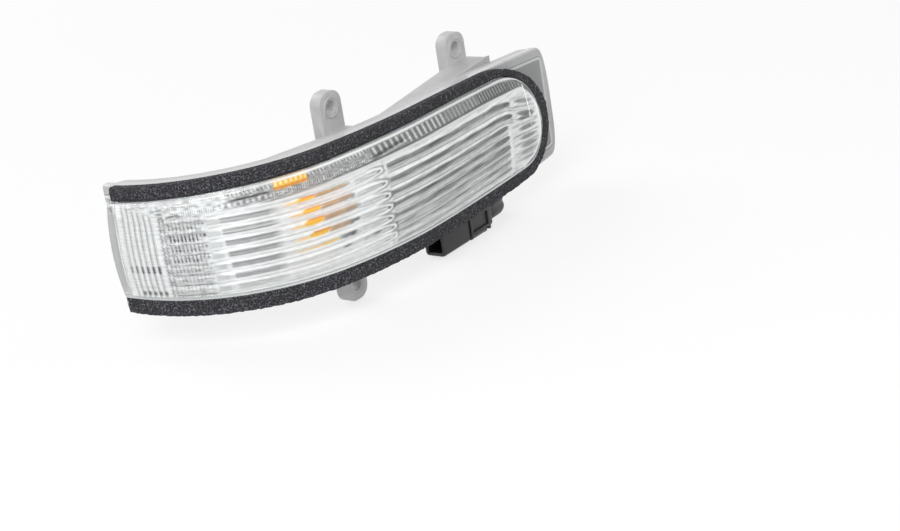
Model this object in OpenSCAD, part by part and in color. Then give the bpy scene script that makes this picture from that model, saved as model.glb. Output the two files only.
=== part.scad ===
// Side repeater lamp for a door mirror: a clear fluted lens wraps round the mirror's outer corner,
// welded to a light grey moulded housing with three screw ears.
// +Z is up, the lens faces -Y and its outboard end turns back towards +Y.
// The origin is the middle of the upper outer screw bore.

/* [Plan curve of the lens] */
// Heading of the curve at its outboard end, degrees back from the X axis
head_out = 97; // [90:0.5:105]
// Length of the tight outboard bend
bend_len = 70; // [60:1:80]
// Radius of the tight outboard bend
bend_r = 49; // [45:1:56]
// Length of the blend after the bend
blend_len = 40; // [30:1:50]
// Radius of the blend after the bend
blend_r = 130; // [110:5:160]
// Length of the nearly straight inboard run
run_len = 75.5; // [70:0.5:82]
// Radius of the nearly straight inboard run
run_r = 690; // [500:10:900]

/* [Outline] */
// Height of the flange's top edge over the middle line, at its crown
top_crown_z = 21; // [19:0.1:24]
// Place of that crown along the curve
top_crown_s = 72; // [60:1:100]
// Radius of the top edge, seen square on
top_edge_r = 845; // [600:5:1000]
// Depth of the bottom edge under the middle line, at the outboard end
bottom_z = 21.4; // [19:0.1:24]
// Drop of the bottom edge over the whole length
bottom_drop = 2.9; // [0:0.1:5]
// Height of the rounded inboard tip over the middle line
tip_z = -8; // [-10:0.5:-4]
// Length of the flange past the end of the curve
flange_reach = 5; // [4:0.5:7]

/* [Lens] */
// Thickness of the clear flange
flange_t = 2.5; // [2:0.1:3]
// Height of the lens's side wall over the flange
dome_h = 4.5; // [4.2:0.1:5.5]
// Extra height of the lens's crown
crown_h = 1.5; // [0.5:0.1:2]
// Wall of the lens
lens_wall = 2; // [1.6:0.1:2.4]
// Radius of the lens's front edge
edge_r = 1.4; // [1:0.1:1.8]
// Pitch of the flutes inside the lens
flute_pitch = 3.45; // [3:0.05:4]
// Depth of the flutes inside the lens
flute_h = 0.7; // [0.3:0.1:0.9]

/* [Foam gasket] */
// Width of the foam strip along the top
foam_w = 4.6; // [4.2:0.1:5]
// Width of the foam's top run at its inboard end
foam_w_in = 3.3; // [3:0.1:4]
// Width of the foam's bottom run at its outboard end
foam_w_under = 5.4; // [5:0.1:5.8]
// Width of the foam strip at the inboard end of the bottom
foam_w_low = 4.4; // [4:0.1:5]
// Thickness of the foam strip
foam_t = 2.5; // [2:0.1:3.5]
// Gap between the foam and the lens's side wall
foam_gap = 0.2; // [0.1:0.05:0.4]

/* [Housing] */
// Depth of the housing behind the flange
shell_depth = 7; // [6.5:0.1:8]
// Wall of the housing
shell_wall = 1.8; // [1.5:0.1:2.2]
// Step from the flange's edge in to the housing's edge
shell_inset = 0.3; // [0.2:0.1:1]
// Height of the raised rims along the back
rim_h = 0.7; // [0.4:0.1:1]
// Thickness of the ribs that carry the ears
rib_t = 2.5; // [2:0.1:3]

/* [Screw ears] */
// Width of an ear
ear_w = 10; // [9:0.1:12]
// Thickness of an ear
ear_t = 4; // [3:0.1:5]
// Diameter of the screw bore
ear_bore_d = 4.4; // [4:0.1:5]
// Height of an ear past the middle of its bore
ear_top = 5; // [4.5:0.1:6]
// Corner radius of an ear
ear_corner_r = 4; // [2:0.1:4.4]

/* [Wire tubes] */
// Bore of a wire tube
tube_bore_d = 7.4; // [6.8:0.1:8]
// Wall of a wire tube
tube_wall = 1.3; // [1:0.1:1.6]
// Web between the two bores
tube_web = 1; // [0.8:0.1:1.4]
// Wire diameter over its insulation
wire_d = 2; // [1.6:0.1:2.2]
// Length of a rubber grommet
grommet_len = 9; // [7:0.5:12]

/* [Bulb] */
// Diameter of the amber glass
bulb_d = 8; // [7.4:0.1:8.2]
// Length of the amber glass
bulb_len = 19; // [17:0.5:21]
// Wall of the glass
glass_t = 0.6; // [0.4:0.1:0.8]
// Length of the bulb holder
socket_len = 11; // [9:0.5:12]

/* [Connector] */
// Length of the connector
plug_len = 28; // [27:0.5:31]
// Depth of the connector from front to back
plug_w = 7.6; // [7:0.1:8]
// Height of the connector
plug_h = 9.2; // [8.6:0.1:10]
// Thickness of the bracket that carries the connector
bracket_t = 2.2; // [1.8:0.1:2.6]
// Width of the sleeve over the wires
sleeve_w = 7; // [6:0.1:7.4]
// Thickness of the sleeve over the wires
sleeve_h = 4.8; // [4.2:0.1:5.4]
// Wall of the sleeve
sleeve_wall = 0.6; // [0.4:0.05:0.8]

/* [Hidden] */
$fn = 48;
turn = 180 / PI;
grain = 0.01;

// Plan curve: three tangent arcs from the outboard end
start = [-58, 57.4];
head_1 = head_out - bend_len / bend_r * turn;
head_2 = head_1 - blend_len / blend_r * turn;
centre_1 = start + bend_r * [sin(head_out), cos(head_out)];
join_1 = centre_1 - bend_r * [sin(head_1), cos(head_1)];
centre_2 = join_1 + blend_r * [sin(head_1), cos(head_1)];
join_2 = centre_2 - blend_r * [sin(head_2), cos(head_2)];
centre_3 = join_2 + run_r * [sin(head_2), cos(head_2)];
curve_len = bend_len + blend_len + run_len;

function arc_no(s) = s < bend_len ? 0 : s < bend_len + blend_len ? 1 : 2;
function heading(s) = [head_out - s / bend_r * turn,
                       head_1 - (s - bend_len) / blend_r * turn,
                       head_2 - (s - bend_len - blend_len) / run_r * turn][arc_no(s)];
function centre(s) = [centre_1, centre_2, centre_3][arc_no(s)];
function radius(s) = [bend_r, blend_r, run_r][arc_no(s)];

// Point at a length along the curve, a distance out in front of it and a height
function at(s, off, z) = let (h = heading(s), r = radius(s) + off, c = centre(s))
    [c.x - r * sin(h), c.y - r * cos(h), z];
function at_plan(s, off) = let (p = at(s, off, 0)) [p.x, p.y];

// Middles of the three screw bores
ear_up_out = at(90.64, -18.06, 24);
ear_up_in = at(161.74, -16.81, 21);
ear_low = at(79.98, -9.37, -28.5);

// Levels along the front normal
flange_front = 1.5;
flange_back = flange_front - flange_t;
foam_front = flange_front + foam_t;
dome_front = flange_front + dome_h;
back_level = flange_back - shell_depth;
floor_level = back_level + rim_h;
inner_level = back_level + rim_h + shell_wall;

// Edges of the flange, the foam and the dome
function ramp(x, a, b) = min(1, max(0, (x - a) / (b - a)));
function round_off(x, a, b, p) = pow(max(0, 1 - pow(ramp(x, a, b), p)), 1 / p);
function top_edge(s) = top_crown_z - pow(s - top_crown_s, 2) / (2 * top_edge_r);
function bottom_edge(s) = -bottom_z - bottom_drop * s / curve_len;
flange_end = curve_len + flange_reach;
flange_corner = flange_end - 6;
function flange_top(s) = tip_z + (top_edge(s) - tip_z) * round_off(s, flange_corner, flange_end, 3);
function flange_bottom(s) = tip_z + (bottom_edge(s) - tip_z) * round_off(s, flange_corner, flange_end, 3);

// The foam turns the inboard end on two part ellipses, wide above the tip and tight below it
foam_out_top = [curve_len - 39.5, 36.8];
foam_out_low = [curve_len - 22.5, 19.8];
foam_in_top = [curve_len - 35.5, 26];
foam_in_low = [curve_len - 25.5, 16];
dome_end = foam_in_top[0] + foam_in_top[1];
function low_w(s) = foam_w_under + (foam_w_low - foam_w_under) * ramp(s, 60, curve_len);
function top_w(s) = foam_w + (foam_w_in - foam_w) * ramp(s, 0, foam_in_top[0]);
function dome_top(s) = tip_z + (top_edge(s) - top_w(s) - tip_z)
    * round_off(s, foam_in_top[0], dome_end, 2);
function dome_bottom(s) = tip_z + (bottom_edge(s) + low_w(s) - tip_z)
    * round_off(s, foam_in_low[0], dome_end, 2);

// Stations along the curve: the same steps for every piece, so that faces that meet share their facets
step = 4;
function stations(a, b) =
    concat([a], [for (k = [ceil((a + 0.6) / step) : floor((b - 0.6) / step)]) k * step], [b]);
function end_stations(a, b, n) = [for (k = [1 : n]) a + (b - a) * sin(90 * k / n)];

// Closed solid through a row of rings with the same number of points
module loft(rings) {
    n = len(rings[0]);
    m = len(rings);
    sides = [for (i = [0 : m - 2], j = [0 : n - 1])
        let (a = i * n + j, b = i * n + (j + 1) % n)
        each [[a, b, b + n], [a, b + n, a + n]]];
    cap = [for (j = [0 : floor((n - 1) / 2) - 1]) each [[j + 1, j, n - 1 - j],
           if (n - 2 - j > j + 1) [n - 2 - j, j + 1, n - 1 - j]]];
    far_cap = [for (f = cap) [for (k = [2 : -1 : 0]) f[k] + (m - 1) * n]];
    polyhedron([for (r = rings) each r], concat(cap, sides, far_cap));
}
function ring(s, section) = [for (p = section) at(s, p[0], p[1])];

// Route through hand-picked points, smoothed by a spline
function spline(p, t) = let (n = len(p) - 1, k = min(floor(t), n - 1), u = t - k,
        a = p[max(k - 1, 0)], b = p[k], c = p[k + 1], d = p[min(k + 2, n)])
    0.5 * (2 * b + (c - a) * u + (2 * a - 5 * b + 4 * c - d) * u * u + (3 * b - a - 3 * c + d) * u * u * u);
function unit(v) = v / norm(v);
function tangent(p, t) = unit(spline(p, min(t + 0.02, len(p) - 1)) - spline(p, max(t - 0.02, 0)));
function sweep_ring(p, t, a, b, sides) = let (c = spline(p, t), d = tangent(p, t),
        up = unit([0, 0, 1] - d.z * d), side = cross(d, up))
    [for (k = [0 : sides - 1]) c + a / 2 * sin(360 * k / sides) * up + b / 2 * cos(360 * k / sides) * side];
module sweep(p, a, b, sides, per_span) {
    n = (len(p) - 1) * per_span;
    loft([for (i = [0 : n]) sweep_ring(p, i / per_span, a, b, sides)]);
}

// Every piece is drawn in the lens's own frame and moved so that the upper outer bore is the origin
module placed() {
    translate(-ear_up_out) children();
}

// Lens
flute_count = 8;
flute_steps = 4;
flute_mid = 1.1;
function flute_z(j) = flute_mid + (j / flute_steps - flute_count / 2) * flute_pitch;
dome_start = 1;
dome_full = 5;
function dome_off(s) = flange_front + 0.5 + (dome_front - flange_front - 0.5)
    * ramp(s, dome_start, dome_full)
    - edge_r * (1 - round_off(s, dome_end - edge_r, dome_end, 2));
function crown(u, f) = crown_h * (1 - u * u) * f / dome_front;
function dome_section(s) =
    let (t = dome_top(s), b = dome_bottom(s), f = dome_off(s), e = min(edge_r, (t - b) / 4))
    [[flange_front - 1, b], [f - e, b], [f - 0.3 * e, b + 0.3 * e],
     for (k = [0 : 8]) let (u = -1 + k / 4) [f + crown(u, f), (t + b) / 2 + u * ((t - b) / 2 - e)],
     [f - 0.3 * e, t - 0.3 * e], [f - e, t], [flange_front - 1, t]];
function flange_section(s) = [[flange_back, flange_bottom(s)], [flange_front, flange_bottom(s)],
                              [flange_front, flange_top(s)], [flange_back, flange_top(s)]];
cavity_start = dome_full + lens_wall;
cavity_end = dome_end - lens_wall - 0.8;
turn_start = dome_end - 12;
function flute(s, z) =
    flute_h * ramp(s, cavity_start, cavity_start + 4) * ramp(-s, -cavity_end, -cavity_end + 8)
    * abs(sin(180 * (z - flute_mid) / flute_pitch));
function cavity_section(s) = let (t = dome_top(s) - lens_wall, b = dome_bottom(s) + lens_wall,
        f = dome_off(s) - lens_wall, n = flute_count * flute_steps)
    [[flange_back - 1, b], [f - 1, b],
     for (j = [0 : n]) let (z = min(max(flute_z(j), b + 0.2 + grain * j), t - 0.2 - grain * (n - j)),
                            u = (2 * z - t - b) / (t - b))
         [f + crown(u, f) - flute(s, z), z],
     [f - 1, t], [flange_back - 1, t]];
module lens() {
    flange_rows = concat(stations(0, flange_corner), end_stations(flange_corner, flange_end - 0.05, 6));
    dome_rows = concat(stations(dome_start, turn_start + 2), end_stations(turn_start + 4, dome_end - 0.3, 6));
    cavity_rows = concat(stations(cavity_start, turn_start), end_stations(turn_start + 2, cavity_end, 4));
    color("white", 0.4) placed() difference() {
        union() {
            loft([for (s = flange_rows) ring(s, flange_section(s))]);
            loft([for (s = dome_rows) ring(s, dome_section(s))]);
        }
        loft([for (s = cavity_rows) ring(s, cavity_section(s))]);
    }
}

// Foam gasket: one open loop, top run, rounded inboard end and bottom run
foam_start = 3;
function foam_ring(so, zo, si, zi) = [at(si, flange_front, zi), at(si, foam_front, zi),
                                      at(so, foam_front, zo), at(so, flange_front, zo)];
function foam_top_ring(a) = let (so = foam_out_top[0] + foam_out_top[1] * sin(a),
        si = foam_in_top[0] + (foam_in_top[1] + foam_gap) * sin(a))
    foam_ring(so, tip_z + (top_edge(so) - tip_z) * cos(a),
              si, tip_z + (top_edge(si) - top_w(si) + foam_gap - tip_z) * cos(a));
function foam_low_ring(a) = let (so = foam_out_low[0] + foam_out_low[1] * cos(a),
        si = foam_in_low[0] + (dome_end + foam_gap - foam_in_low[0]) * cos(a))
    foam_ring(so, tip_z + (bottom_edge(so) - tip_z) * sin(a),
              si, tip_z + (bottom_edge(si) + low_w(si) - foam_gap - tip_z) * sin(a));
module foam_gasket() {
    turn_steps = 14;
    color("dimgray") placed() loft(concat(
        [for (s = stations(foam_start, foam_out_top[0]))
            foam_ring(s, top_edge(s), s, top_edge(s) - top_w(s) + foam_gap)],
        [for (k = [1 : turn_steps]) foam_top_ring(90 * k / turn_steps)],
        [for (k = [1 : turn_steps]) foam_low_ring(90 * k / turn_steps)],
        [let (low = stations(foam_start, foam_in_low[0] - 1)) for (k = [len(low) - 1 : -1 : 0])
            foam_ring(low[k], bottom_edge(low[k]), low[k], bottom_edge(low[k]) + low_w(low[k]) - foam_gap)]));
}

// Housing shell
shell_end = flange_end - 0.6;
shell_slope = 4;
shell_start = -1;
shell_corner = 4;
rim_fade = 5;
function shell_corner_drop(s) =
    shell_corner * (1 - round_off(-s, -shell_start - shell_corner, -shell_start + 0.2, 2));
shell_turn = shell_end - 5;
function shell_round(s, z) = tip_z + (z - tip_z) * round_off(s, shell_turn, shell_end + 0.2, 3);
function shell_top(s) = shell_round(s, top_edge(s) - shell_inset) - shell_corner_drop(s);
function shell_bottom(s) = shell_round(s, bottom_edge(s) + shell_inset) + shell_corner_drop(s);
function shell_d(s) = 1 - 0.85 * ramp(s, shell_end - shell_slope, shell_end)
    - 0.35 * ramp(-s, -shell_start - 2, -shell_start);
function rim(s) = rim_h * (1.3 * ramp(s, shell_start, shell_start + rim_fade)
    * ramp(-s, -shell_end, -shell_end + rim_fade) - 0.3);
function shell_section(s) =
    let (t = shell_top(s), b = shell_bottom(s), d = shell_depth * shell_d(s), h = rim(s))
    [[flange_back, t], [flange_back - 0.65 * d, t - 0.6], [flange_back - 0.93 * d, t - 1.6],
     [flange_back - d, t - 3.2], [flange_back - d + 0.3 * h, t - 5], [flange_back - d + h, t - 6.2],
     [flange_back - d + h, b + 6.2], [flange_back - d + 0.3 * h, b + 5], [flange_back - d, b + 3.2],
     [flange_back - 0.93 * d, b + 1.6], [flange_back - 0.65 * d, b + 0.6], [flange_back, b]];
function shell_cavity(s) = let (t = dome_top(s) - lens_wall + 0.2, b = dome_bottom(s) + lens_wall - 0.2)
    [[flange_back + 8, t], [flange_back - 0.4, t], [inner_level, t - 1.6],
     [inner_level, b + 1.6], [flange_back - 0.4, b], [flange_back + 8, b]];

// Ribs that rise from the back: plan outlines, closed along the floor
rib_foot = floor_level + 0.8;
gusset_start = 36;
function floor_line(a, b) = [for (s = stations(a, b)) at_plan(s, rib_foot)];
function back_line(a, b) = let (p = floor_line(a, b)) [for (k = [len(p) - 1 : -1 : 0]) p[k]];
up_rib_z = 16.5;
ear_lap = 0.2;
ear_half = ear_w / 2 - ear_lap;
ear_back = ear_t / 2 - ear_lap;
ear_foot = 3.5;
module upper_rib() {
    translate([0, 0, up_rib_z - rib_t]) linear_extrude(rib_t)
        polygon(concat([at_plan(gusset_start, back_level)],
            [[ear_up_out.x - ear_half, ear_up_out.y + ear_back - ear_foot],
             [ear_up_out.x - ear_half, ear_up_out.y + ear_back],
             [ear_up_out.x + ear_half, ear_up_out.y + ear_back],
             at_plan(97.64, -10.23),
             [ear_up_in.x - ear_half, ear_up_in.y + ear_back - ear_foot],
             [ear_up_in.x - ear_half, ear_up_in.y + ear_back],
             [ear_up_in.x + ear_half, ear_up_in.y + ear_back],
             at_plan(166.33, -7.59)],
            back_line(gusset_start, turn_start + 4)));
}
low_rib_z = -19.5;
low_rib = [66, 90];
module lower_rib() {
    translate([0, 0, low_rib_z]) linear_extrude(rib_t)
        polygon(concat([at_plan(low_rib[0], back_level)],
            [[ear_low.x - ear_half, ear_low.y + ear_back],
             [ear_low.x + ear_half, ear_low.y + ear_back],
             at_plan(86.42, -7.22)],
            back_line(low_rib[0], low_rib[1])));
}

// Ear: a plate square to Y with a true bore, from its foot out past the bore; dir is 1 up, -1 down
module ear_plate(foot, dir) {
    reach = ear_top - ear_corner_r;
    rotate([90, 0, 0]) linear_extrude(ear_t, center = true) {
        translate([-ear_w / 2, dir > 0 ? -foot : -reach]) square([ear_w, foot + reach]);
        flat = ear_w / 2 - ear_corner_r;
        for (side = [-1, 1]) translate([side * flat, dir * reach]) circle(ear_corner_r);
        translate([-flat, dir > 0 ? 0 : -ear_top]) square([2 * flat, ear_top]);
    }
}
module ear_bore(p) {
    translate(p) rotate([90, 0, 0]) cylinder(d = ear_bore_d, h = 3 * ear_t, center = true);
}

// Wire tubes: their mouths lean out of the back, their roots open into the bulb chamber
tube_mouth = at_plan(117.03, -17.85);
tube_root = at_plan(77.69, -6.5);
tube_mid_z = 3;
tube_d = tube_bore_d + 2 * tube_wall;
tube_gap = tube_bore_d + tube_web;
tube_len = norm(tube_root - tube_mouth);
tube_way = (tube_root - tube_mouth) / tube_len;
tube_turn = atan2(tube_way.y, tube_way.x);
function on_tube(t, side) = [tube_mouth.x + t * tube_way.x, tube_mouth.y + t * tube_way.y,
                             tube_mid_z + side * tube_gap / 2];
module along_tube(side) {
    translate([tube_mouth.x, tube_mouth.y, tube_mid_z + side * tube_gap / 2])
        rotate([0, 0, tube_turn]) rotate([0, 90, 0]) children();
}
module tubes() {
    for (side = [-1, 1]) along_tube(side) {
        cylinder(d = tube_d, h = tube_len);
        translate([0, 0, tube_len]) sphere(d = tube_d);
    }
    along_tube(0) translate([-tube_d / 4, -tube_gap / 2, 2]) cube([tube_d / 2, tube_gap, tube_len - 2]);
}
module tube_bores() {
    for (side = [-1, 1]) along_tube(side) translate([0, 0, -1]) cylinder(d = tube_bore_d, h = tube_len);
}

// Connector bracket: a diagonal wall from the tubes, and a plate that the connector hangs from
hang_s = 133;
hang_lean = 4.39;
hang_turn = -heading(hang_s) - hang_lean;
bracket_back = 12.2;
bracket_wall = 6;
function hang(x, y, z) = at(hang_s, 0, z) + (x - hang_x) * [cos(hang_turn), sin(hang_turn), 0]
    + (y - hang_y) * [-sin(hang_turn), cos(hang_turn), 0];
hang_x = 40.39;
hang_y = 1.11;
module hanging() {
    translate(at(hang_s, 0, 0)) rotate([0, 0, hang_turn]) translate([-hang_x, -hang_y, 0]) children();
}
module bracket() {
    hanging() translate([0, bracket_back, 0]) rotate([90, 0, 0]) {
        linear_extrude(bracket_wall)
            polygon([[9, -12], [10.5, -15.5], [32, -23.6], [42, -23.4], [54, -25], [54, -22.4],
                     [42, -20.4], [36, -20.2], [12, -10.6]]);
        linear_extrude(bracket_t)
            polygon([[31, -22], [31.5, -27.2], [38.6, -28.6], [38.9, -29.6], [53, -32.6],
                     [54.6, -32], [55.4, -30.6], [55, -22.4], [42, -20.6]]);
    }
}

module housing_solid() {
    rows = concat([shell_start, 0.4, 2], stations(4, shell_turn - 5), [shell_turn - 1],
                  [for (k = [0 : 5]) shell_turn + k]);
    loft([for (s = rows) ring(s, shell_section(s))]);
    upper_rib();
    lower_rib();
    translate(ear_up_out) ear_plate(ear_up_out.z - up_rib_z + rib_t, 1);
    translate(ear_up_in) ear_plate(ear_up_in.z - up_rib_z + rib_t, 1);
    translate(ear_low) ear_plate(low_rib_z + rib_t - ear_low.z, -1);
    tubes();
    bracket();
}
module housing_cuts() {
    rows = concat(stations(2, turn_start), end_stations(turn_start, cavity_end, 4));
    loft([for (s = rows) ring(s, shell_cavity(s))]);
    tube_bores();
    wire_window();
    for (p = [ear_up_out, ear_up_in, ear_low]) ear_bore(p);
}
module housing() {
    color("lightgray") placed() {
        difference() {
            housing_solid();
            housing_cuts();
        }
        socket_pads();
    }
}

// Reflector: a bright tray between the housing and the lens, with a window for the bulb holder
reflector_t = 0.9;
reflector_gap = 0.3;
tray_front = 0.5;
tray_slope = 2.2;
function tray_section(s) = let (t = dome_top(s) - lens_wall - reflector_gap,
        b = dome_bottom(s) + lens_wall + reflector_gap, f = inner_level, w = reflector_t)
    [[tray_front, t], [f, t - tray_slope], [f, b + tray_slope], [tray_front, b], [tray_front, b + w],
     [f + w, b + tray_slope + w], [f + w, t - tray_slope - w], [tray_front, t - w]];
module reflector() {
    rows = concat(stations(cavity_start + 1, turn_start), [turn_start + 3, turn_start + 6]);
    color("silver") placed() difference() {
        loft([for (s = rows) ring(s, tray_section(s))]);
        at_bulb() translate([bulb_len / 2 - 1, -bulb_d, -socket_h / 2 - 1])
            cube([socket_len + 3, 2 * bulb_d, socket_h + 2]);
    }
}

// Bulb: lies along the curve in front of the tubes, its tip outboard
bulb_s = 66;
bulb_off = -0.5;
bulb_turn = heading(bulb_s);
function by_bulb(x, y, z) = at(bulb_s, bulb_off, tube_mid_z + z)
    + x * [cos(bulb_turn), -sin(bulb_turn), 0] + y * [sin(bulb_turn), cos(bulb_turn), 0];
module at_bulb() {
    translate(at(bulb_s, bulb_off, tube_mid_z)) rotate([0, 0, -bulb_turn]) children();
}
module bulb_profile(d, l) {
    translate([0, -l / 2 + d / 2]) intersection() {
        circle(d = d);
        translate([0, -d / 2]) square([d / 2, d / 2]);
    }
    translate([0, -l / 2 + d / 2]) square([d / 2, l - d / 2]);
}
module bulb_glass() {
    color("orange", 0.8) placed() at_bulb() rotate([0, 90, 0]) {
        difference() {
            rotate_extrude() bulb_profile(bulb_d, bulb_len);
            rotate_extrude() bulb_profile(bulb_d - 2 * glass_t, bulb_len - 2 * glass_t);
            lead_bores();
        }
    }
}
lead_gap = 3.4;
lead_d = 0.6;
module lead_bores() {
    for (side = [-1, 1]) translate([side * lead_gap / 2, 0, bulb_len / 2 - 3])
        cylinder(d = lead_d, h = 6, $fn = 16);
}
contact_x = bulb_len / 2 + 2.6;
module bulb_filament() {
    color("gray") placed() at_bulb() rotate([0, 90, 0]) {
        for (side = [-1, 1]) translate([side * lead_gap / 2, 0, 0])
            cylinder(d = lead_d, h = contact_x, $fn = 16);
        rotate([0, 90, 0]) cylinder(d = 0.8, h = lead_gap + 1, center = true, $fn = 16);
    }
}

// Bulb holder: a block on two pads of the housing, with two contacts and two wire holes in its back
socket_h = 12;
socket_front = -1.2;
socket_back = 4.8;
contact_t = 1;
contact_y = -0.5;
wire_x = 15;
pad_w = 2;
module wire_window() {
    at_bulb() translate([wire_x - 3, socket_back, -tube_gap / 2 - 1]) cube([6, 4.4, tube_gap + 2]);
}
module socket_pads() {
    at_bulb() translate([0, 0, -socket_h / 2]) linear_extrude(socket_h) {
        translate([bulb_len / 2, socket_back]) square([pad_w, 2]);
        translate([bulb_len / 2 + socket_len - pad_w, socket_back]) square([pad_w, 3.6]);
    }
}
module contact_bar(side, from, to) {
    translate([from, contact_y, side * lead_gap / 2 - contact_t / 2]) cube([to - from, contact_t, contact_t]);
}
module bulb_socket() {
    color("black") placed() at_bulb() difference() {
        translate([bulb_len / 2, socket_front, -socket_h / 2])
            cube([socket_len, socket_back - socket_front, socket_h]);
        for (side = [-1, 1]) {
            contact_bar(side, bulb_len / 2 - 1, bulb_len / 2 + socket_len + 1);
            translate([wire_x, contact_y + contact_t / 2, side * lead_gap / 2]) rotate([-90, 0, 0])
                cylinder(d = wire_d + 0.2, h = socket_back);
        }
    }
}
module socket_contact(side) {
    color("goldenrod") placed() at_bulb() contact_bar(side, contact_x, bulb_len / 2 + socket_len + 0.6);
}

// Rubber grommet: a plug with three sealing ribs, round the wire at the mouth of a tube
module grommet(side) {
    color("black") placed() along_tube(side) translate([0, 0, -0.8]) rotate_extrude() difference() {
        union() {
            square([tube_bore_d / 2 - 0.7, grommet_len]);
            for (k = [0 : 2]) translate([0, 1 + 2.6 * k]) polygon([[0, 0], [tube_bore_d / 2, 0.3],
                [tube_bore_d / 2, 0.9], [tube_bore_d / 2 - 0.7, 1.6], [0, 1.6]]);
        }
        translate([-1, -1]) square([wire_d / 2 + 1.05, grommet_len + 2]);
    }
}

// Place of the connector and its insides, and of the wires that end in it
plug_x = 25;
plug_y = bracket_back - bracket_t - plug_w;
plug_z = -33.6;
mouth_len = 10;
mouth_wall = 1.1;
block_x = mouth_len + 4;
pin_gap = 3;
pin_t = 1;
pin_end = 17;
seal_len = 3;
seal_in = 4;

// Wires: from the bulb holder through the tubes and the sleeve, round its fold and into the connector
plug_back = [plug_x + plug_len, plug_y + plug_w / 2, plug_z + plug_h / 2];
sleeve_way = [[125.05, -14.68, 3.6], [132.26, -12.58, -0.2], [140.46, -11.72, -5.9], [148.72, -11.56, -13.3],
              [155.34, -11.28, -20.4], [158.12, -8.76, -26.4], [156.26, -4.95, -29.4]];
sleeve_route = concat([for (p = sleeve_way) at(p[0], p[1], p[2])],
                      [for (x = [3.6, 0]) hang(plug_back.x + x, plug_back.y, plug_back.z)]);
wire_step = 1.3;
function wire_start(side) =
    concat([for (y = [contact_y + contact_t, 2.2, 4.7, 7.2]) by_bulb(wire_x, y, side * lead_gap / 2)],
           [for (t = [27.5, 17, 9, 3, -1.5, -3.5]) on_tube(t, side)]);
function wire_mid(side) = [for (t = [0 : len(sleeve_route) - 1]) let (d = tangent(sleeve_route, t))
                           sleeve_route[t] + side * wire_step * unit([0, 0, 1] - d.z * d)];
function wire_end(side) = [for (x = [plug_len - 3, plug_len - 8, pin_end])
                           hang(plug_x + x, plug_back.y, plug_back.z + side * pin_gap / 2)];
module wire(side) {
    sweep(concat(wire_start(side), wire_mid(side), wire_end(side)), wire_d, wire_d, 8, 3);
}
module wire_light() {
    color("gainsboro") placed() wire(-1);
}
module wire_dark() {
    color("black") placed() wire(1);
}
module wire_sleeve() {
    color("black") placed() difference() {
        sweep(sleeve_route, sleeve_w, sleeve_h, 12, 4);
        sweep(sleeve_route, sleeve_w - 2 * sleeve_wall, sleeve_h - 2 * sleeve_wall, 12, 4);
    }
}

// Connector: its mouth faces outboard, its wires leave inboard
module pin_bar(side, from, to) {
    translate([from, plug_w / 2 - pin_t / 2, plug_h / 2 + side * pin_gap / 2 - pin_t / 2])
        cube([to - from, pin_t, pin_t]);
}
module wire_hole(side, d, from, to) {
    translate([from, plug_w / 2, plug_h / 2 + side * pin_gap / 2]) rotate([0, 90, 0])
        cylinder(d = d, h = to - from);
}
module at_plug() {
    placed() hanging() translate([plug_x, plug_y, plug_z]) children();
}
module connector_body() {
    color("black") at_plug() difference() {
        union() {
            cube([block_x, plug_w, plug_h]);
            translate([block_x, 0.6, 0.6]) cube([plug_len - block_x, plug_w - 1.2, plug_h - 1.2]);
        }
        translate([-1, mouth_wall, mouth_wall])
            cube([mouth_len + 1, plug_w - 2 * mouth_wall, plug_h - 2 * mouth_wall]);
        for (side = [-1, 1]) {
            pin_bar(side, mouth_len - 1, pin_end);
            wire_hole(side, wire_d + 0.4, block_x, plug_len + 1);
        }
    }
}
module connector_lock() {
    color("dimgray") at_plug() translate([block_x + 2, 1.2, -0.7]) cube([9, plug_w - 2.4, 1.3]);
}
module connector_pin(side) {
    color("goldenrod") at_plug() pin_bar(side, mouth_len - 5, pin_end);
}
module connector_seal(side) {
    color("seagreen") at_plug() difference() {
        wire_hole(side, wire_d + 0.4, plug_len - seal_in - seal_len, plug_len - seal_in);
        wire_hole(side, wire_d, plug_len - seal_in - seal_len - 1, plug_len - seal_in + 1);
    }
}

housing();
lens();
reflector();
foam_gasket();
bulb_glass();
bulb_filament();
bulb_socket();
socket_contact(-1);  // socket_contact_a
socket_contact(1);  // socket_contact_b
grommet(-1);  // grommet_a
grommet(1);  // grommet_b
wire_light();
wire_dark();
wire_sleeve();
connector_body();
connector_lock();
connector_pin(-1);  // connector_pin_a
connector_pin(1);  // connector_pin_b
connector_seal(-1);  // connector_seal_a
connector_seal(1);  // connector_seal_b
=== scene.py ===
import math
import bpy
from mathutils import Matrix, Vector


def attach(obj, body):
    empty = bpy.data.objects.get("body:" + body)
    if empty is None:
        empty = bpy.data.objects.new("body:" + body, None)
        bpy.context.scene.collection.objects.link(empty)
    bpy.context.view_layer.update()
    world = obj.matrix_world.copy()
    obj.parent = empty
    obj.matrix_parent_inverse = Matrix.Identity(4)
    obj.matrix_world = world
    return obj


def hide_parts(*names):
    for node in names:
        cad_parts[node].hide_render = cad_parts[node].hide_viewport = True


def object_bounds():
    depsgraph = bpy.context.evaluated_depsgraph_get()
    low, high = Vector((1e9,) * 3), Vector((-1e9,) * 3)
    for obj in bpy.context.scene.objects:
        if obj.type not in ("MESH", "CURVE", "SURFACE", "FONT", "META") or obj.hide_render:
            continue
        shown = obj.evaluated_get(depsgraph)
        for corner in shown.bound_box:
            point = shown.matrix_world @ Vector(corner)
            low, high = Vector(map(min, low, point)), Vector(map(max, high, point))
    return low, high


bl_info = {
    "name": "Side repeater lamp",
    "version": (1, 0, 0),
    "blender": (4, 5, 0),
    "location": "3D View > Sidebar > Side repeater",
    "description": "Dresses a side repeater lamp: housing, fluted lens, foam gasket, bulb, wires and connector",
    "category": "Object",
}

import bmesh
import bpy
import numpy as np
from mathutils import Vector, noise

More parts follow.
